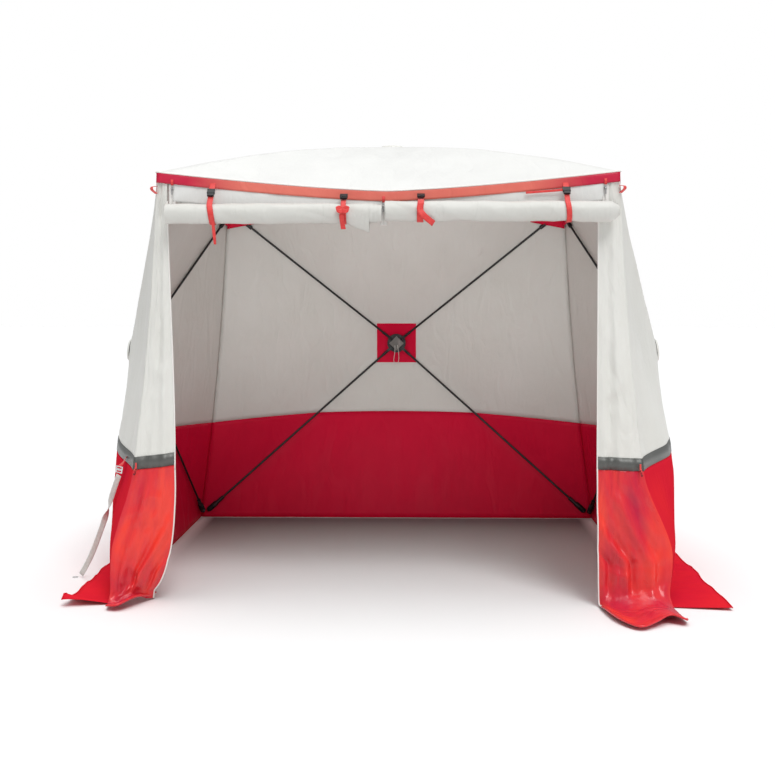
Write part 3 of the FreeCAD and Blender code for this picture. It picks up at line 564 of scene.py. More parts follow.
def billow(side, s, z):
    """How far slack cloth near a front corner stands outside the wall's taut shape."""
    if side not in BILLOW:
        return 0.0
    front = s if side == "left" else -s
    grounded = 0.4 + 0.6 * ease(z / 0.25)
    fading = 1 - ease((z - 0.5) / 0.7)
    held_by_corner = ease((front - 0.6) / 0.4) * (1 - ease((SEAM - z) / 0.35))
    return BILLOW[side] * grounded * fading * ease((front + 0.2) / 0.8) * (1 - held_by_corner)


def soft_max(a, b, width=0.08):
    return max(a, b) + max(width - abs(a - b), 0) ** 2 / (4 * width)


def creases(u, v, seed, size):
    """Sharp-edged creases from -1 to 1, about size across."""
    point = Vector((u / size + seed * 7.3, v / size - seed * 3.1, seed * 1.7))
    warp = noise.noise(point * 0.6) * 1.3
    first = 1 - 2 * abs(noise.noise(point + Vector((warp, -warp, 0))))
    second = noise.noise(point * 2.1 + Vector((3, 5, warp)))
    return first * 0.7 + second * 0.3


def seam_height(side, s):
    """The height of a wall's seam between red and white, which the bulge draws up in the middle."""
    return SEAM + SEAM_RISE[side] * (1 - s * s)


def wall_point(side, s, z, lift=0.0):
    """A point of a wall's outer face: s runs from -1 to 1 along the wall, lift moves it outwards."""
    across, out = SIDES[side]
    peak = PEAKS[side]
    bulge = peak.dot(out) - reach(side, peak.z)
    pull = corner_pull(z)
    eave_z = eave_height(side, s)
    lean = (half_span(side, 0) - half_span(side, EAVE)) / EAVE
    wide = abs(s) * half_span(side, z)
    to_side = (wide + lean * (z - peak.z)) / (half_span(side, 0) - lean * peak.z)
    to_end = (z - peak.z) / (eave_z - peak.z) if z > peak.z else (peak.z - z) / peak.z
    share = soft_max(to_side, to_end)
    between_poles = 1 - (min(to_side, to_end) / max(to_side, to_end, 1e-6)) ** 2
    distance = math.hypot(wide, z - peak.z)
    disc = HUB_DISC * share / max(distance, 1e-6)
    rise = 1 - min(max((share - disc) / (1 - disc), 0), 1) if distance > HUB_DISC else 1
    taut = 1 - min(share, 1) ** 6
    sag = WALL_SAG * 4 * share * (1 - min(share, 1)) * between_poles
    seed = list(SIDES).index(side) + 1
    past_disc = ease((distance - HUB_DISC) / 0.2)
    wrinkle = WALL_CREASE * creases(wide * math.copysign(1, s), z, seed, CREASE_SIZE) * taut * past_disc
    tuck = EAVE_PULL * (1 - s * s) * max((z - peak.z) / (eave_z - peak.z), 0) ** 6
    depth = reach(side, z) - pull * min(share, 1) ** 2 + bulge * rise - sag + wrinkle - tuck + lift
    depth += billow(side, s, z)
    return across * (s * (half_span(side, z) - pull)) + out * depth + UP * z


def wall_at(side, x, z, lift):
    """A wall's point at a distance x along the wall from its middle."""
    return wall_point(side, x / (half_span(side, z) - corner_pull(z)), z, lift)


def spaced(start, end, count):
    return [lerp(start, end, n / (count - 1)) for n in range(count)]


WALL_COLUMNS = spaced(-1, 1, 85)


def wall_sheet(side, kind, heights, lift):
    """Cloth of a wall. heights(s) gives the rows' heights at s."""
    return cloth_mesh(f"{side}_{kind}", WALL_COLUMNS, heights, lambda s, z: wall_point(side, s, z, lift),
                      lambda s, z: (s * half_span(side, z), z))


def follow_hub(obj):
    """Bakes the piece's placement into its mesh.
    """
    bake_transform(obj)
    return obj


def make_wall(side):
    """A wall above and below its seam, the tape over the seam and the band under the eave."""
    def upper_heights(s):
        seam = seam_height(side, s)
        top = seam + TAPE_WIDTH
        return [seam, (seam + top) / 2] + spaced(top, eave_height(side, s), 42)

    def lower_heights(s):
        return spaced(WALL_FOOT, seam_height(side, s), 24)

    def tape_heights(s):
        return spaced(seam_height(side, s) - TAPE_LAP, seam_height(side, s) + TAPE_WIDTH, 3)

    def band_heights(s):
        return spaced(eave_height(side, s) - BAND, eave_height(side, s), 4)

    for kind, heights, lift, material, slot, height, replaced in (
            ("wall_cloth", upper_heights, 0, WHITE, "white_cloth", EAVE - SEAM, f"{side}_wall"),
            ("base_cloth", lower_heights, 0, RED, "red_cloth", SEAM, f"{side}_base"),
            ("tape", tape_heights, TAPE_LIFT, TAPE, "reflective_tape", TAPE_WIDTH, "reflective_tape"),
            ("band", band_heights, BAND_LIFT, TRIM_RED, "red_cloth", BAND, "eave_band")):
        piece = thicken(dress(wall_sheet(side, kind, heights, lift), material))
        if kind == "base_cloth":
            shade_inside(piece)
        follow_hub(piece)
        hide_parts(replaced)


def eave_point(side, s):
    across, out = SIDES[side]
    z = eave_height(side, s)
    tuck = 0 if side == "front" else EAVE_PULL * (1 - s * s)
    return across * (s * half_span(side, z)) + out * (reach(side, z) - tuck) + UP * z


# How far the roof's cloth lies above its hub's peak, and rises above the straight line to the eaves.
ROOF_LIFT = 0.0025
ROOF_ARCH = 0.03


def make_roof():
    """The roof from its hub to the eaves: rings round the hub that grow into the eaves' outline."""
    outline = []
    for side in SIDES:
        outline += [(eave_point(side, s), s) for s in spaced(-1, 1, 44)[:-1]]
    peak = PEAKS["roof"] + UP * ROOF_LIFT
    rows, uvs = [], []
    for t in [0.0, 0.5] + [1 + n / 34 for n in range(35)]:
        share = max(t - 1, 0)
        row = []
        for edge, s in outline:
            flat = Vector((edge.x, edge.y, 0)).normalized()
            rim = peak + flat * (HUB_DISC * min(t, 1))
            sag = (0.014 * (1 - s * s) - ROOF_ARCH) * 4 * share * (1 - share)
            crumple = 0.0035 * creases(edge.x * share, edge.y * share, 9, 0.38) * 4 * share * (1 - share)
            row.append(lerp(rim, edge, share) - UP * (sag - crumple))
        rows.append(row)
        uvs.append([(point.x, point.y) for point in row])
    roof = grid_mesh("roof_cloth", rows[::-1], uvs[::-1], closed=True)
    bm = bmesh.new()
    bm.from_mesh(roof.data)
    bmesh.ops.remove_doubles(bm, verts=bm.verts, dist=0.0002)
    bmesh.ops.recalc_face_normals(bm, faces=bm.faces)
    bm.to_mesh(roof.data)
    bm.free()
    # The roof takes the lighter copy of the white cloth: painted light.
    dress(roof, LIT_ROOF_WHITE)
    thicken(roof)
    follow_hub(roof)
    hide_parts("roof_cover")


def door_edge(end, z):
    """How far along the front the door's edge is on each side at a height."""
    if end > 0:
        return DOOR_EDGE - 0.012
    return -(DOOR_EDGE + 0.003 + 0.03 * ease((z - TAPE_TOP) / (EAVE - TAPE_TOP)))


def wing_point(end, c, z, lift=0.0):
    """A point of a front wing: c runs from 0 at the door's edge to 1 at the corner."""
    near = door_edge(end, z)
    far = end * (half_span("front", z) - corner_pull(z))
    slack = math.sin(math.pi * min(c * 1.15, 1))
    down = ease((EAVE - z) / EAVE)
    fold = 0.012 * math.sin(7.5 * c + end * 1.3 + 0.8 * z) + 0.006 * math.sin(17 * c - 2.2 * z + end)
    crumple = 0.011 * creases(c * 0.24, z, 20 + end, 0.2) + 0.004 * creases(c * 0.24, z, 26 + end, 0.07)
    crumple *= ease((EAVE - BAND - z) / 0.12)
    ripple = (fold * (0.25 + 0.75 * down) + crumple) * slack
    out = reach("front", z) - corner_pull(z) * (0.35 + 0.65 * c) + ripple
    out -= 0.014 * (1 - c) ** 2 * down
    return Vector((lerp(near, far, c), -(out + lift), z))


WING_COLUMNS = spaced(0, 1, 33)


def wing_sheet(end, name, heights, lift):
    """Cloth of a front wing. heights(c) gives the rows' heights at c."""
    return cloth_mesh(name, WING_COLUMNS[::end], heights, lambda c, z: wing_point(end, c, z, lift),
                      lambda c, z: (c * 0.25 + end * 2, z))


def wing_seam(end, c):
    """A wing's seam climbs a little from the corner to the door's edge."""
    return SEAM + WING_SEAM_RISE[end] * (1 - c)


def wing_top(end, c):
    share = abs(lerp(door_edge(end, EAVE), end * TOP_X, c)) / TOP_X
    return eave_height("front", min(share, 1))


def make_wing(end, hand):
    """A front wing, its tape, and the piping along the door's edge."""
    def tape_heights(c):
        return spaced(wing_seam(end, c) - TAPE_LAP, wing_seam(end, c) + TAPE_WIDTH, 3)

    def upper_heights(c):
        _, middle, top = tape_heights(c)
        return [wing_seam(end, c), middle] + spaced(top, wing_top(end, c), 72)

    for kind, heights, lift, material, slot, height, replaced in (
            ("cloth", upper_heights, 0, WHITE, "white_cloth", EAVE - SEAM, "front_wings"),
            ("tape", tape_heights, WING_TAPE_LIFT, TAPE, "reflective_tape", TAPE_WIDTH, "reflective_tape")):
        piece = thicken(dress(wing_sheet(end, f"{hand}_wing_{kind}", heights, lift), material))
        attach(piece, "root")
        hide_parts(replaced)
    edge = [wing_point(end, 0, z, 0.0005) for z in spaced(SEAM, PIPING_TOP, 50)]
    piping = dress(tube_mesh(f"{hand}_wing_piping", edge, PIPING_RADIUS, 8), PIPING)
    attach(piping, "root")


# Where each front base meets the ground, and where its hem ends, from the door's edge to the corner.
BASE_FEET = {
    -1: vectors((-1.0, -1.035, 0), (-1.08, -1.09, 0)),
    1: vectors((0.884, -1.1, 0), (1.02, -1.125, 0)),
}
BASE_HEMS = {
    -1: vectors((-1.0, -0.97, 0), (-1.03, -1.1, 0), (-1.095, -1.235, 0), (-1.155, -1.225, 0)),
    1: vectors((0.889, -1.17, 0), (0.92, -1.38, 0), (0.985, -1.505, 0), (1.06, -1.46, 0),
               (1.125, -1.4, 0), (1.18, -1.43, 0), (1.198, -1.365, 0)),
}
# How high each hem lies.
HEM_RISE = {-1: 0.012, 1: 0.004}
# Where each base's folds run together, as shares across it and down to the ground.
GATHERS = {-1: (0.92, 1.2), 1: (1.04, 1.1)}


def spread(points, t):
    """A point at a share t along evenly numbered points, rounded between them."""
    place = min(max(t, 0), 1) * (len(points) - 1)
    index = min(int(place), len(points) - 2)
    local = place - index
    before = points[max(index - 1, 0)]
    after = points[min(index + 2, len(points) - 1)]
    here, there = points[index], points[index + 1]
    first = (there - before) / 2
    last = (after - here) / 2
    square, cube = local * local, local ** 3
    return (here * (2 * cube - 3 * square + 1) + first * (cube - 2 * square + local)
            + there * (3 * square - 2 * cube) + last * (cube - square))


def base_point(end, c, t):
    """A point of a front base: t runs from 0 at the seam to 1 at the ground and 2 at the hem."""
    top = wing_point(end, c, wing_seam(end, c))
    side, front = ("right", -1) if end > 0 else ("left", 1)
    foot = spread(BASE_FEET[end] + [wall_point(side, front, 0)], c)
    hem = spread(BASE_HEMS[end], c)
    knee = 0.28
    if t < 1 - knee:
        point = lerp(top, foot, t)
    elif t < 1 + knee:
        start, finish = lerp(top, foot, 1 - knee), lerp(foot, hem, knee)
        local = (t - 1 + knee) / (2 * knee)
        point = lerp(lerp(start, foot, local), lerp(foot, finish, local), local)
    else:
        point = lerp(foot, hem, t - 1)
    drop = ease(t * 4) * (0.7 + 0.3 * ease(t))
    slack = math.sin(math.pi * min(max(c, 0.02), 0.98)) ** 0.6
    gather_c, gather_t = GATHERS[end]
    fan = (gather_c - c) / max(gather_t - t, 0.42)
    pleat = math.sin(8 * fan + 1.5 * end) + 0.5 * math.sin(17 * fan + 2)
    crumple = creases(c * 0.25 + 0.16 * t, t * 0.55, 31 + end, 0.14)
    fold = (0.014 * pleat + 0.020 * crumple) * slack * drop
    wave = math.sin(8 * c + 2 * end)
    upright = 1 - ease((t - 0.75) / 0.45)
    settle = 0.004 + HEM_RISE[end] * ease(t - 1) + (0.012 + 0.010 * wave + 0.014 * crumple) * slack
    out = Vector((0.15 * end, -1, 0)).normalized()
    point = point + out * (fold * upright)
    if t < 1:
        height = SEAM * (1 - t)
        straight = lerp(wall_point(side, front, SEAM), wall_point(side, front, 0), t)
        point += (wall_point(side, front, height) - straight) * c * c
        if end < 0:
            point.x += (foot.x - top.x) * (t ** 3 - t) * (1 - c)
    return Vector((point.x, point.y, max(point.z + settle * (1 - upright), CLOTH_ON_GROUND)))


def make_front_base(end, hand):
    """A red front base, the piping along the door's edge and the hem on the ground."""
    across = spaced(0, 1, 61)
    down = [n / 44 for n in range(44)] + [1 + n / 30 for n in range(31)]
    base = cloth_mesh(f"{hand}_front_base_cloth", across[::end], down[::-1],
                      lambda c, t: base_point(end, c, t), lambda c, t: (c * 0.25 + end * 3, -t * 0.5))
    edge = [base_point(end, 0, t) + Vector((0, -0.001, 0.001)) for t in down]
    piping = dress(tube_mesh(f"{hand}_base_piping", edge, PIPING_RADIUS, 8), PIPING)
    ground = [base_point(end, c, 2) + UP * 0.003 for c in across]
    # The base and its hem take the brighter copy of the red cloth: painted light.
    hem = dress(tube_mesh(f"{hand}_base_hem", ground, BASE_HEM_RADIUS, 8), LIT_GLOSS_RED)
    thicken(dress(base, LIT_GLOSS_RED))
    shade_inside(base)
    for piece in (base, piping, hem):
        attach(piece, "root")
    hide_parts("front_bases")


SKIRT_WIDTHS = {"back": 0.235, "left": 0.2, "right": 0.272}


def skirt_point(side, s, w):
    """A point of a ground flap: w runs from 0 at the wall's foot to 1 at its outer edge."""
    across, out = SIDES[side]
    width = SKIRT_WIDTHS[side] + 0.012 * noise.noise(Vector((s * 4, 3.1, list(SIDES).index(side))))
    near, span = reach(side, 0) - 0.004, half_span(side, 0) - 0.004
    front_end = 0.055 if side in ("left", "right") and ((side == "left") == (s > 0)) else -0.05
    along = s * (span + w * front_end * abs(s) ** 8)
    wave = creases(along, w * 0.3, 40 + list(SIDES).index(side), 0.3)
    lift = 0.003 + w * (0.008 + 0.010 * wave)
    if side == "left":
        lift += 0.035 * w * math.exp(-((along - span - 0.01) / 0.05) ** 2)
    return across * along + out * (near + w * width) + UP * max(lift, CLOTH_ON_GROUND)


def make_skirt(side):
    """A wall's flap on the ground, with its hem."""
    columns = spaced(-1, 1, 91)
    skirt = cloth_mesh(f"{side}_skirt_cloth", columns, spaced(0, 1, 9)[::-1],
                       lambda s, w: skirt_point(side, s, w),
                       lambda s, w: (s * half_span(side, 0), w * SKIRT_WIDTHS[side]))
    edge = [skirt_point(side, s, 1) for s in columns]
    hem = dress(tube_mesh(f"{side}_skirt_hem", edge, SKIRT_HEM_RADIUS, 8), RED)
    thicken(dress(skirt, RED))
    for piece in (skirt, hem):
        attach(piece, "root")
    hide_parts("snow_skirt")


def front_point(x, z, lift):
    """A point that stands lift outside the front's plane."""
    return Vector((x, -(reach("front", z) + lift), z))


def eave_z(x):
    return eave_height("front", min(abs(x) / TOP_X, 1))


def header_point(s, t):
    """A point of the door's header: t runs from 0 at the eave to 1 at its lower edge."""
    x = s * HEADER_HALF
    z = eave_z(x) - HEADER * t
    sway = 0.006 * creases(x, z, 51, 0.3) * math.sin(math.pi * t / 1.2)
    return front_point(x, z, -0.001 + sway)


def band_point(s, t):
    """A point of the front's red band, which lies bunched up towards its ends."""
    x = s * TOP_X
    z = eave_z(x) - BAND * t
    slack = 0.3 + 1.2 * ease((abs(s) - 0.72) / 0.2)
    bunch = 0.004 * creases(x, z * 1.6, 57, 0.07) * slack * (0.4 + t)
    return front_point(x, z, 0.004 + bunch)


def make_header_and_band():
    columns = spaced(-1, 1, 121)
    header = cloth_mesh("door_header_cloth", columns, spaced(1, 0, 12), header_point,
                        lambda s, t: header_point(s, t).xz)
    # The header takes the lighter copy of the white cloth: painted light.
    thicken(dress(header, LIT_ROOF_WHITE))
    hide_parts("door_header")

    band = cloth_mesh("front_band", columns, spaced(1, 0, 6), band_point, lambda s, t: band_point(s, t).xz)
    thicken(dress(band, TRIM_RED), 0.0014)
    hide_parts("eave_band")

    lines = []
    for side in SIDES:
        line = [eave_point(side, s) + SIDES[side][1] * 0.003 + UP * 0.002 for s in columns]
        lines.append(tube_mesh(f"{side}_piping", line, EAVE_PIPING_RADIUS, 8))
    piping = dress(join("eave_piping", lines), PIPING)
    for piece in (header, band, piping):
        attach(piece, "root")


# --- Patches and pockets ---


# Half a hub patch's side, the width of its binding, and a corner pocket's length.
PATCH_HALF = 0.124
BINDING_WIDTH = 0.024
POCKET_LENGTH = 0.19


def patch_piece(name, place, rows, columns, lift):
    """Red cloth sewn onto a panel. place(u, v, lift) gives its points for u and v from 0 to 1."""
    piece = cloth_mesh(name, spaced(0, 1, columns), spaced(0, 1, rows), lambda u, v: place(u, v, lift),
                       lambda u, v: (u * 0.25, v * 0.25))
    # Patches and pockets take the crimson copy of the red: painted shade.
    thicken(dress(piece, SHADED_INSIDE_RED), 0.001)
    return follow_hub(piece)


def roof_at(x, y, lift):
    """A point of the roof near its hub."""
    peak = PEAKS["roof"]
    widest = max(abs(x) / TOP_X, abs(y) / TOP_Y)
    distance = math.hypot(x, y)
    disc = HUB_DISC * widest / max(distance, 1e-6)
    share = min(max((widest - disc) / (1 - disc), 0), 1) if distance > HUB_DISC else 0
    return Vector((x, y, lerp(peak.z + ROOF_LIFT, EAVE, share) + lift))


def make_hub_patch(panel):
    """The red square inside a panel at its hub, and the white binding round it."""
    def place(u, v, lift):
        x, y = lerp(-PATCH_HALF, PATCH_HALF, u), lerp(-PATCH_HALF, PATCH_HALF, v)
        if panel == "roof":
            return roof_at(x, y, lift - 0.006)
        return wall_at(panel, x, PEAKS[panel].z + y, lift)

    patch = patch_piece(f"{panel}_hub_patch", place, 25, 25, PATCH_LIFT)
    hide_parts("reinforcement_patches")
    strips = []
    for turn in range(4):
        def edge_place(u, v, turn=turn):
            inner = BINDING_WIDTH * v
            a, b = lerp(inner, 1 - inner, u), inner
            for _ in range(turn):
                a, b = 1 - b, a
            return place(a, b, BINDING_LIFT)

        strip = cloth_mesh(f"strip_{turn}", spaced(0, 1, 25), [0, 1], edge_place, lambda u, v: (u, v))
        strips.append(thicken(strip, 0.0008))
    binding = dress(join(f"{panel}_patch_binding", strips), PIPING)
    follow_hub(binding)


# The radius and height of each ring of a hub's cover.
COVER_RINGS = ((0.0585, 0.0005), (0.0565, 0.005), (0.05, 0.0105), (0.036, 0.0128), (0.001, 0.014))


def make_hub_cover(panel):
    """The cloth disc sewn over a hub's cap on the outside."""
    axis = hub_axis(panel)
    side = axis.cross(UP if panel != "roof" else Vector((0, 1, 0))).normalized()
    other = axis.cross(side)
    rows = [ring(PEAKS[panel] + axis * height, side, other, radius, 40) for radius, height in COVER_RINGS]
    uvs = [[(point.x, point.z + point.y) for point in row] for row in rows]
    cover = dress(grid_mesh(f"{panel}_hub_cover", rows, uvs, closed=True), WHITE)
    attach(cover, f"{panel}_hub")
    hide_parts(f"{panel}_hub_cap")


def make_corner_pocket(side, end):
    """Red cloth inside an upper corner of a wall, where a pole's upper end sits."""
    def place(u, v, lift):
        z = eave_height(side, end) - 0.008 - v * lerp(0.115, 0.075, u)
        x = end * (half_span(side, z) - corner_pull(z) - 0.006 - POCKET_LENGTH * u)
        puff = 0.03 * math.sin(math.pi * min(u + 0.15, 1)) ** 0.7 * ease(v * 1.6)
        return wall_at(side, x, z, lift - puff)

    pocket = patch_piece(f"{side}_pocket_{'a' if end < 0 else 'b'}", place, 8, 14, POCKET_LIFT)
    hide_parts("reinforcement_patches")


def pole_line(panel, name):
    """A pole's hinge and direction, from its joint and its boot's far corner."""
    joint = JOINTS[f"{panel}_pole_{name}_hinge"]
    pivot = Vector(joint["pos_m"])
    axis = Vector(joint["axis"])
    node = frame["nodes"][f"{panel}_pole_{name}"]
    away = max((vertex.co - pivot for vertex in node.data.vertices), key=lambda offset: offset.length)
    return pivot, (away - axis * away.dot(axis)).normalized()


# --- Rolled door leaves ---

ROLLS = {}
for roll_hand in ("left", "right"):
    roll_low, roll_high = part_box(f"door_roll_{roll_hand}")
    ROLLS[roll_hand] = {
        "start": roll_low.x,
        "end": roll_high.x,
        "y": (roll_low.y + roll_high.y) / 2,
        "z": (roll_low.z + roll_high.z) / 2,
        "radius": (roll_high.z - roll_low.z) / 2,
    }
STRAPS = {number: (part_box(f"buckle_tongue_{number}")[0].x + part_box(f"buckle_tongue_{number}")[1].x) / 2
          for number in (1, 2, 3, 4)}


# How far each strap squeezes its roll, leans aside on its way round it, and its width there.
PINCHES = {1: 0.03, 2: 0.10, 3: 0.07, 4: 0.04}
STRAP_LEANS = {1: 0.010, 2: 0.003, 3: -0.004, 4: 0.007}
STRAP_WIDTHS = {1: 0.024, 2: 0.021, 3: 0.026, 4: 0.022}
UPPER_STRAP_WIDTH = 0.024
# A roll's turns, the steps in a turn, and the radius of its hollow core as a share of the outer one.
ROLL_TURNS = 9
TURN_STEPS = 34
ROLL_CORE = 0.6


def roll_of(x):
    return "left" if x < 0 else "right"


def pinch(x):
    """How far the straps squeeze a roll at x, as a share of its radius."""
    return sum(PINCHES[n] * math.exp(-((x - STRAPS[n]) / 0.035) ** 2) for n in STRAPS)


def roll_radius(hand, x, angle, turn_share):
    """The radius of a roll's cloth: turn_share is 1 on the outside and 0 at the core."""
    roll = ROLLS[hand]
    outer = roll["radius"] - 0.0045
    seed = 60 if hand == "left" else 70
    slant = creases(x - 0.06 * angle, angle * 0.05, seed, 0.15)
    broad = noise.noise(Vector((x * 5, math.sin(angle) * 0.8, math.cos(angle) * 0.8 + seed)))
    wrinkle = (0.0052 * slant + 0.0040 * broad) * turn_share ** 3
    return lerp(ROLL_CORE * outer, outer, turn_share) * (1 - pinch(x) * turn_share) + wrinkle


def leaf_slip(hand, u, share, layer):
    """How far a layer of a roll is shifted along it, at a share u of its length."""
    if hand == "left":
        return 0.051 * max(1 - layer / 3, 0) * ease((u - 0.7) / 0.3)
    return -0.012 * math.sin(7 * share) * ease((0.1 - u) / 0.1) + 0.01 * ease((u - 0.9) / 0.1) * share


def make_roll(hand):
    """A rolled door leaf: it comes down from the header and winds inwards turn by turn."""
    roll = ROLLS[hand]
    start, end, middle_y, middle_z = roll["start"], roll["end"], roll["y"], roll["z"]
    total = ROLL_TURNS * TURN_STEPS
    columns = spaced(0, 1, 76)
    rows, uvs = [], []
    run = 0
    for rise in (0.034, 0.022, 0.01):
        rows.append([Vector((lerp(start, end, u), middle_y + roll["radius"] - 0.0035, middle_z + rise))
                     for u in columns])
        uvs.append([(point.x, rise + middle_z) for point in rows[-1]])
    for step in range(total + 1):
        share = 1 - step / total
        angle = -2 * math.pi * step / TURN_STEPS
        run += 2 * math.pi * lerp(ROLL_CORE * roll["radius"], roll["radius"], share) / TURN_STEPS
        turn = ROLL_TURNS * (1 - share)
        layer = int(turn) + ease((turn % 1 - 0.85) / 0.15)
        row = []
        for u in columns:
            x = min(max(lerp(start, end, u) - leaf_slip(hand, u, share, layer), start), end)
            radius = roll_radius(hand, x, angle, share)
            closing = 1 - 0.35 * ease((u - 0.97) / 0.03) if hand == "right" else 1
            droop = 0.0
            if hand == "left" and layer < 1:
                low = max(-math.sin(angle), 0) ** 3
                droop = 0.034 * max((u - 0.84) / 0.16, 0) ** 1.5 * low
            row.append(Vector((x, middle_y + math.cos(angle) * radius * closing,
                               middle_z + math.sin(angle) * radius * closing - droop)))
        rows.append(row)
        uvs.append([(lerp(start, end, u), middle_z - run) for u in columns])
    # The rolled leaf takes the darker copy of the white cloth: painted shade.
    leaf = dress(grid_mesh(f"{hand}_leaf_cloth", rows, uvs), SHADED_LEAF_WHITE)
    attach(leaf, "root")
    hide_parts(f"door_roll_{hand}")


# --- Straps that hold the rolls ---


def strap_geometry(number):
    """A strap's top, the angle at which it meets the roll, and the circle that it follows."""
    x = STRAPS[number]
    roll = ROLLS[roll_of(x)]
    height = eave_z(x) - 0.030
    top = front_point(x, height, 0.0056)
    radius = roll["radius"] * (1 - 0.5 * pinch(x)) + 0.0012
    centre = Vector((x, roll["y"], roll["z"]))
    line = top - centre
    angle = math.atan2(line.z, line.y) + math.acos(radius / math.hypot(line.y, line.z))
    return top, angle, centre, radius


def on_roll(centre, radius, angle):
    return centre + Vector((0, math.cos(angle), math.sin(angle))) * radius


def make_strap(number):
    """The piece from the band into the socket, and the piece from the tongue round the roll to the header."""
    top, angle, centre, radius = strap_geometry(number)
    foot = on_roll(centre, radius, angle)
    down = (foot - top).normalized()
    to_tongue = (box_middle(f"buckle_tongue_{number}") - top).dot(down)
    start = top - down * 0.012 + UP * 0.008
    upper_route = [lerp(start, top + down * (to_tongue - 0.014), t) for t in spaced(0, 1, 8)]
    upper = ribbon_mesh(f"strap_{number}_upper", upper_route, [RIGHT] * len(upper_route), UPPER_STRAP_WIDTH)
    route = [lerp(top + down * (to_tongue - 0.004), foot, t) for t in spaced(0, 1, 6)]
    for a in spaced(angle, 2 * math.pi, 26)[1:]:
        route.append(on_roll(centre, radius, a) + RIGHT * (STRAP_LEANS[number] * math.sin((a - angle) * 0.8)))
    route += [route[-1] + UP * rise for rise in (0.02, 0.045)]
    width = STRAP_WIDTHS[number]
    lower = ribbon_mesh(f"strap_{number}_lower", route, [RIGHT] * len(route), width)
    for piece in (upper, lower):
        dress(piece, RED_WEBBING)
        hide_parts("roll_straps")
    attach(upper, "root")
    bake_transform(lower)


def rounded(points, count):
    """Evenly numbered points along a few, rounded between them."""
    return [spread(points, t) for t in spaced(0, 1, count)]


def beside(point, *offsets):
    return [point + Vector(offset) for offset in offsets]


def loose_webbing(name, points, across_points, width):
    """A loose tail or loop of webbing along a few points, rounded between them."""
    route = rounded(points, 24)
    across = [direction.normalized() for direction in rounded(across_points, 24)]
    tail = dress(ribbon_mesh(name, route, across, width), RED_WEBBING)
    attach(tail, "root")


def make_tails():
    """The straps' loose ends: a tail, a bow and its tail, a tail pulled aside and one along the band."""
    for number in STRAPS:
        top, _, centre, radius = strap_geometry(number)
        front = on_roll(centre, radius + 0.002, math.pi)
        under = on_roll(centre, radius + 0.003, 1.38 * math.pi)
        if number == 1:
            points = beside(front, (0.008, -0.001, -0.01))
            points += beside(under, (0.014, -0.012, 0), (0.019, -0.016, -0.04), (0.022, -0.012, -0.082))
            loose_webbing("strap_1_tail", points, [RIGHT, RIGHT] + vectors((1, 0.4, 0), (0.8, 1, 0)), 0.013)
        elif number == 2:
            for hand in (-1, 1):
                points = beside(front, (0, -0.004, 0.016), (hand * 0.014, -0.010, 0.020),
                                (hand * 0.026, -0.017, 0.012), (hand * 0.013, -0.021, 0.004),
                                (0, -0.015, 0.008))
                loose_webbing(f"strap_2_loop_{'a' if hand < 0 else 'b'}", points,
                              vectors((0.25 * hand, 0.2, 1)) * 5, 0.018)
            points = beside(front, (0, -0.004, 0.004), (-0.004, -0.012, -0.014))
            points += beside(under, (-0.002, -0.018, 0), (0.002, -0.014, -0.022))
            loose_webbing("strap_2_tail", points, [RIGHT, RIGHT, Vector((1, 0.3, 0)), RIGHT], 0.02)
        elif number == 3:
            points = beside(front, (0.0, -0.004, 0.03), (-0.004, -0.010, 0.004), (0.012, -0.016, -0.022))
            points += beside(under, (0.052, -0.02, -0.008))
            loose_webbing("strap_3_tail", points,
                          [RIGHT] + vectors((1, 0.2, 0.1), (0.7, 0.3, 0.6), (0.5, 0.2, 0.8)), 0.026)
        else:
            points = beside(top, (-0.006, -0.014, -0.022), (-0.05, -0.012, -0.026),
                            (-0.11, -0.010, -0.030), (-0.165, -0.012, -0.034))
            loose_webbing("strap_4_tail", points, vectors((0, 0.2, 1)) * 4, 0.01)


# --- Zips ---


# A zip end's length, its rows of teeth and the columns of its tape.
ZIP_LENGTH = 0.10
ZIP_TEETH = 34
ZIP_COLUMNS = (-0.014, -0.006, 0.006, 0.014)


def make_zip(number):
    """Zip tape with two rows of teeth below the slider, and the red tab above it."""
    pin = Vector(JOINTS[f"zip_pull_{number}_swing"]["pos_m"])
    top = pin.z + 0.018
    tape = cloth_mesh(f"zip_{number}_tape", ZIP_COLUMNS, spaced(0, 1, 14)[::-1],
                      lambda w, t: front_point(pin.x + w, top - ZIP_LENGTH * t, 0.0012),
                      lambda w, t: (w, top - ZIP_LENGTH * t))
    thicken(dress(tape, PIPING))
    teeth = []
    for row in range(ZIP_TEETH):
        z = top - ZIP_LENGTH * (row + 0.5) / ZIP_TEETH
        for side in (-1, 1):
            middle = front_point(pin.x + side * 0.0011, z + side * 0.0007, 0.0026)
            line = beside(middle, (-0.0017, 0, 0), (0.0017, 0, 0))
            teeth.append(tube_mesh(f"tooth_{row}_{side}", line, 0.0009, 6))
    chain = dress(join(f"zip_{number}_teeth", teeth), PIPING)
    route = [front_point(pin.x, pin.z + 0.014 + 0.026 * t, 0.005 + 0.006 * math.sin(math.pi * t))
             for t in spaced(0, 1, 10)]
    tab = ribbon_mesh(f"zip_{number}_tab", route, [RIGHT] * len(route), 0.011)
    dress(tab, RED_WEBBING)
    for piece in (tape, chain, tab):
        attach(piece, "root")


# --- Storm strap, hub cord and tabs ---

STORM_ROUTE = vectors(
    (-1.172, -0.888, 0.518),
    (-1.212, -0.845, 0.430),
    (-1.256, -0.780, 0.325),
    (-1.316, -0.698, 0.200),
    (-1.376, -0.622, 0.085),
    (-1.424, -0.586, 0.014),
)
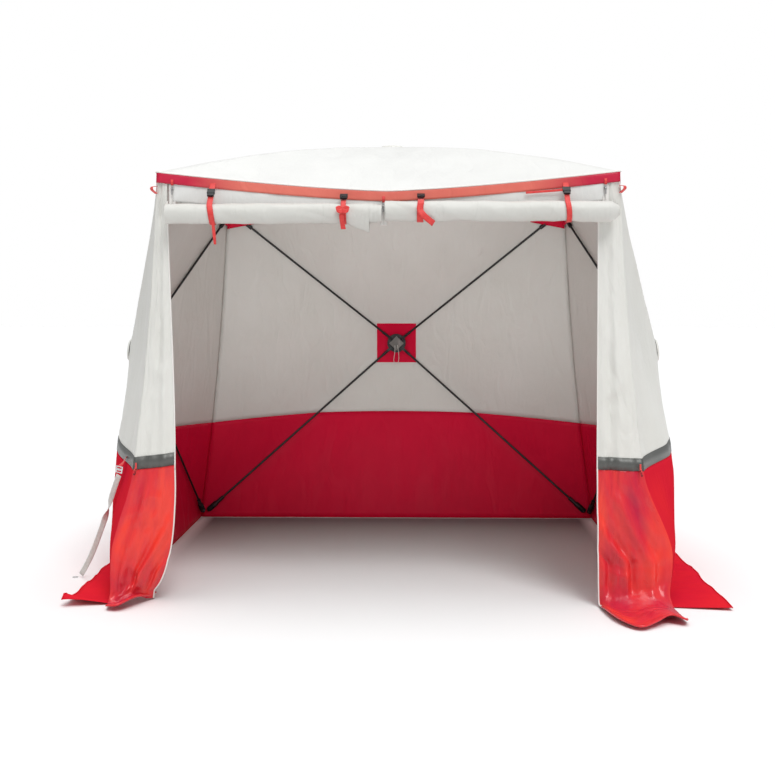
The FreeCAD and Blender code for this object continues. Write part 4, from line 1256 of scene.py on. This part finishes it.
# Across, upwards and outwards from where the back hub's axis meets the cloth.
LOOP_ROUTE = vectors(
    (-0.007, -0.009, -0.058),
    (-0.012, -0.044, -0.060),
    (-0.015, -0.078, -0.058),
    (-0.014, -0.103, -0.057),
    (-0.006, -0.121, -0.058),
    (0.009, -0.122, -0.059),
    (0.017, -0.105, -0.060),
    (0.014, -0.080, -0.061),
    (0.008, -0.044, -0.062),
    (0.009, -0.011, -0.060),
)


def make_storm_strap():
    """Flat white webbing that twists half a turn on its way down to the ring."""
    route = smooth_route("storm_line", STORM_ROUTE)
    flat = Vector((0.91, -0.41, 0))
    width = 0.025
    across = []
    for number, ahead in enumerate(tangents(route)):
        t = number / (len(route) - 1)
        side = (flat - ahead * flat.dot(ahead)).normalized()
        twist = math.radians(180 * ease((t - 0.15) / 0.35))
        across.append(Matrix.Rotation(twist, 3, ahead) @ side)
    strap = ribbon_mesh("storm_strap_webbing", route, across, width, 0.0016)
    dress(strap, WHITE_WEBBING)
    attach(strap, "root")
    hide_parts("storm_strap")


def make_hub_cord():
    """The loop of cord that pulls the back hub inwards."""
    peak, axis = PEAKS["back"], hub_axis("back")
    across = SIDES["back"][0]
    up = axis.cross(across)
    controls = [peak + across * p.x + up * p.y + axis * p.z for p in LOOP_ROUTE]
    route = smooth_route("hub_loop_line", controls)
    cord = tube_mesh("hub_cord", route, 0.0015, 10)
    dress(cord, CORD)
    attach(cord, "back_hub")
    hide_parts("hub_pull_cord")


# --- CAD parts that stay ---


def finish_cad_parts():
    """Gives every carried-over part its material, and softens the edges of the moulded and cast ones."""
    slots = {part["node"]: part["material_slot"] for part in frame["record"]["subparts"]}
    for name, node in frame["nodes"].items():
        material = SLOT_MATERIALS.get(slots[name])
        if material is None:
            continue
        node.data.materials.clear()
        node.data.materials.append(material)
        bevel = node.modifiers.new("edges", "BEVEL")
        bevel.width = 0.0008 if slots[name] in ("buckle_plastic", "hub_plastic", "hub_steel") else 0.0003
        bevel.segments = 2
        bevel.limit_method = "ANGLE"
        bevel.angle_limit = math.radians(40)
        node.data.polygons.foreach_set("use_smooth", [True] * len(node.data.polygons))


# Along the pole from its tip, and the radius there.
BOOT_PROFILE = ((-0.030, 0.010), (-0.028, 0.0155), (0.0, 0.016), (0.032, 0.016), (0.044, 0.009))


def make_boot(panel, name):
    """A moulded cup on a pole's tip that reaches into the corner's pocket."""
    pivot, along = pole_line(panel, name)
    node = frame["nodes"][f"{panel}_pole_{name}"]
    tip = max((vertex.co - pivot).dot(along) for vertex in node.data.vertices)
    route = [pivot + along * (tip + shift) for shift, _ in BOOT_PROFILE]
    boot = tube_mesh(f"{panel}_{name}_boot", route, [radius for _, radius in BOOT_PROFILE], 20)
    dress(boot, HUB_PLASTIC)
    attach(boot, f"{panel}_pole_{name}")


def make_webbing_tabs():
    """Guy loops at the top corners, the hooks' tabs and the tab above the storm strap's buckle."""
    tabs = []
    height = EAVE - 0.058
    for start in (wing_point(-1, 1, height), wing_point(1, 1, height),
                  wall_point("back", -1, height), wall_point("back", 1, height)):
        away = Vector((start.x, start.y, 0)).normalized()
        points = [start + away * out - UP * drop
                  for out, drop in ((0, 0), (0.02, 0.002), (0.023, 0.014), (0, 0.03))]
        tabs.append(ribbon_mesh("tab", rounded(points, 14), [away.cross(UP)] * 14, 0.02))
    for _, hand in ENDS:
        pin = Vector(JOINTS[f"corner_hook_{hand}_swing"]["pos_m"])
        cross = Vector(JOINTS[f"corner_hook_{hand}_swing"]["axis"])
        away = UP.cross(cross)
        away = away if away.dot(Vector((pin.x, pin.y, 0))) > 0 else -away
        points = [pin + away * out + UP * rise for out, rise in (
            (-0.008, 0.028), (-0.007, 0.012), (-0.003, 0.004), (0.0045, 0), (0.001, -0.0045),
            (-0.007, -0.004), (-0.008, 0.010))]
        tabs.append(ribbon_mesh("tab", rounded(points, 26), [cross] * 26, 0.0075))
    start = STORM_ROUTE[0]
    top = wall_point("left", -start.y / half_span("left", SEAM), SEAM + 0.03, 0.003)
    points = [top, lerp(top, start, 0.35) + Vector((-0.004, -0.006, 0)), start + UP * 0.036]
    sides = [lerp(SIDES["left"][0], RIGHT, t * 0.8).normalized() for t in spaced(0, 1, 12)]
    tabs.append(ribbon_mesh("tab", rounded(points, 12), sides, 0.022))
    piece = dress(join("webbing_tab_set", tabs), RED_WEBBING)
    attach(piece, "root")
    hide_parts("webbing_tabs")


# --- Stage ---


def sun_lamp(name, energy, width, direction):
    """A sun whose disc is width degrees wide and whose light goes along direction."""
    sun = bpy.data.lights.new(name, "SUN")
    sun.energy = energy
    sun.angle = math.radians(width)
    lamp = link(bpy.data.objects.new(name, sun))
    lamp.rotation_mode = "QUATERNION"
    lamp.rotation_quaternion = direction.to_track_quat("-Z", "Y")


def make_stage():
    corners = [(-60, -60, 0), (60, -60, 0), (60, 60, 0), (-60, 60, 0)]
    floor = make_mesh("floor", corners, [(0, 1, 2, 3)], smooth=False)
    shader = Shader("studio_floor", (0.86, 0.86, 0.86), 0.85)
    split = shader.node("ShaderNodeSeparateXYZ")
    shader.wire(shader.coordinates("Object"), split.inputs["Vector"])
    # A painted shadow darkens the floor inside the tent towards the back of the room, where little light reaches.
    inwards = shader.span(split.outputs["Y"], -0.9, 1.0)
    inside_x = shader.span(shader.math("ABSOLUTE", split.outputs["X"], 0), BASE_X - 0.03, BASE_X - 0.09)
    inside_y = shader.span(split.outputs["Y"], BASE_Y - 0.01, BASE_Y - 0.03)
    inside = shader.math("MULTIPLY", inside_x, inside_y)
    shade = shader.math("MULTIPLY", shader.math("POWER", inwards, 2), inside)
    shader.tint(shader.math("MULTIPLY", shade, 0.8), (0.02, 0.02, 0.02))
    floor.data.materials.append(shader.material)
    world = bpy.data.worlds.new("studio")
    world.use_nodes = True
    tree = world.node_tree
    backdrop, light = tree.nodes["Background"], tree.nodes.new("ShaderNodeBackground")
    backdrop.inputs["Color"].default_value = (1, 1, 1, 1)
    light.inputs["Color"].default_value = (0.97, 0.985, 1, 1)
    light.inputs["Strength"].default_value = 0.42
    mix, path = tree.nodes.new("ShaderNodeMixShader"), tree.nodes.new("ShaderNodeLightPath")
    tree.links.new(path.outputs["Is Camera Ray"], mix.inputs["Fac"])
    tree.links.new(light.outputs["Background"], mix.inputs[1])
    tree.links.new(backdrop.outputs["Background"], mix.inputs[2])
    tree.links.new(mix.outputs["Shader"], tree.nodes["World Output"].inputs["Surface"])
    bpy.context.scene.world = world

    sun_lamp("sun", 1.45, 24, Vector((-0.26, 0.64, -0.92)))
    sun_lamp("top_light", 1.5, 50, Vector((0, 0, -1)))

    # A soft lamp in the doorway stands in for the light that the cloth lets in.
    glow = bpy.data.lights.new("glow", "AREA")
    glow.shape = "RECTANGLE"
    glow.size, glow.size_y = 1.5, 0.7
    glow.energy = 5
    glow.spread = math.radians(100)
    glow_lamp = link(bpy.data.objects.new("glow", glow))
    glow_lamp.location = (0, -0.92, 1.0)
    glow_lamp.rotation_euler = (math.radians(96), 0, 0)


make_storm_strap()
make_hub_cord()
for wall in WALLS:
    make_wall(wall)
make_roof()
for front_end, front_hand in ENDS:
    make_wing(front_end, front_hand)
for front_end, front_hand in ENDS:
    make_front_base(front_end, front_hand)
for wall in WALLS:
    make_skirt(wall)
make_header_and_band()
for clothed in PANELS:
    make_hub_patch(clothed)
for clothed in PANELS:
    make_hub_cover(clothed)
for wall in WALLS:
    make_corner_pocket(wall, -1)
    make_corner_pocket(wall, 1)
for roll_side in ROLLS:
    make_roll(roll_side)
for strap_number in STRAPS:
    make_strap(strap_number)
    if strap_number < 4:
        make_zip(strap_number)
make_tails()
for wall in WALLS:
    make_boot(wall, "lower_a")
    make_boot(wall, "lower_b")
make_webbing_tabs()
finish_cad_parts()
make_stage()
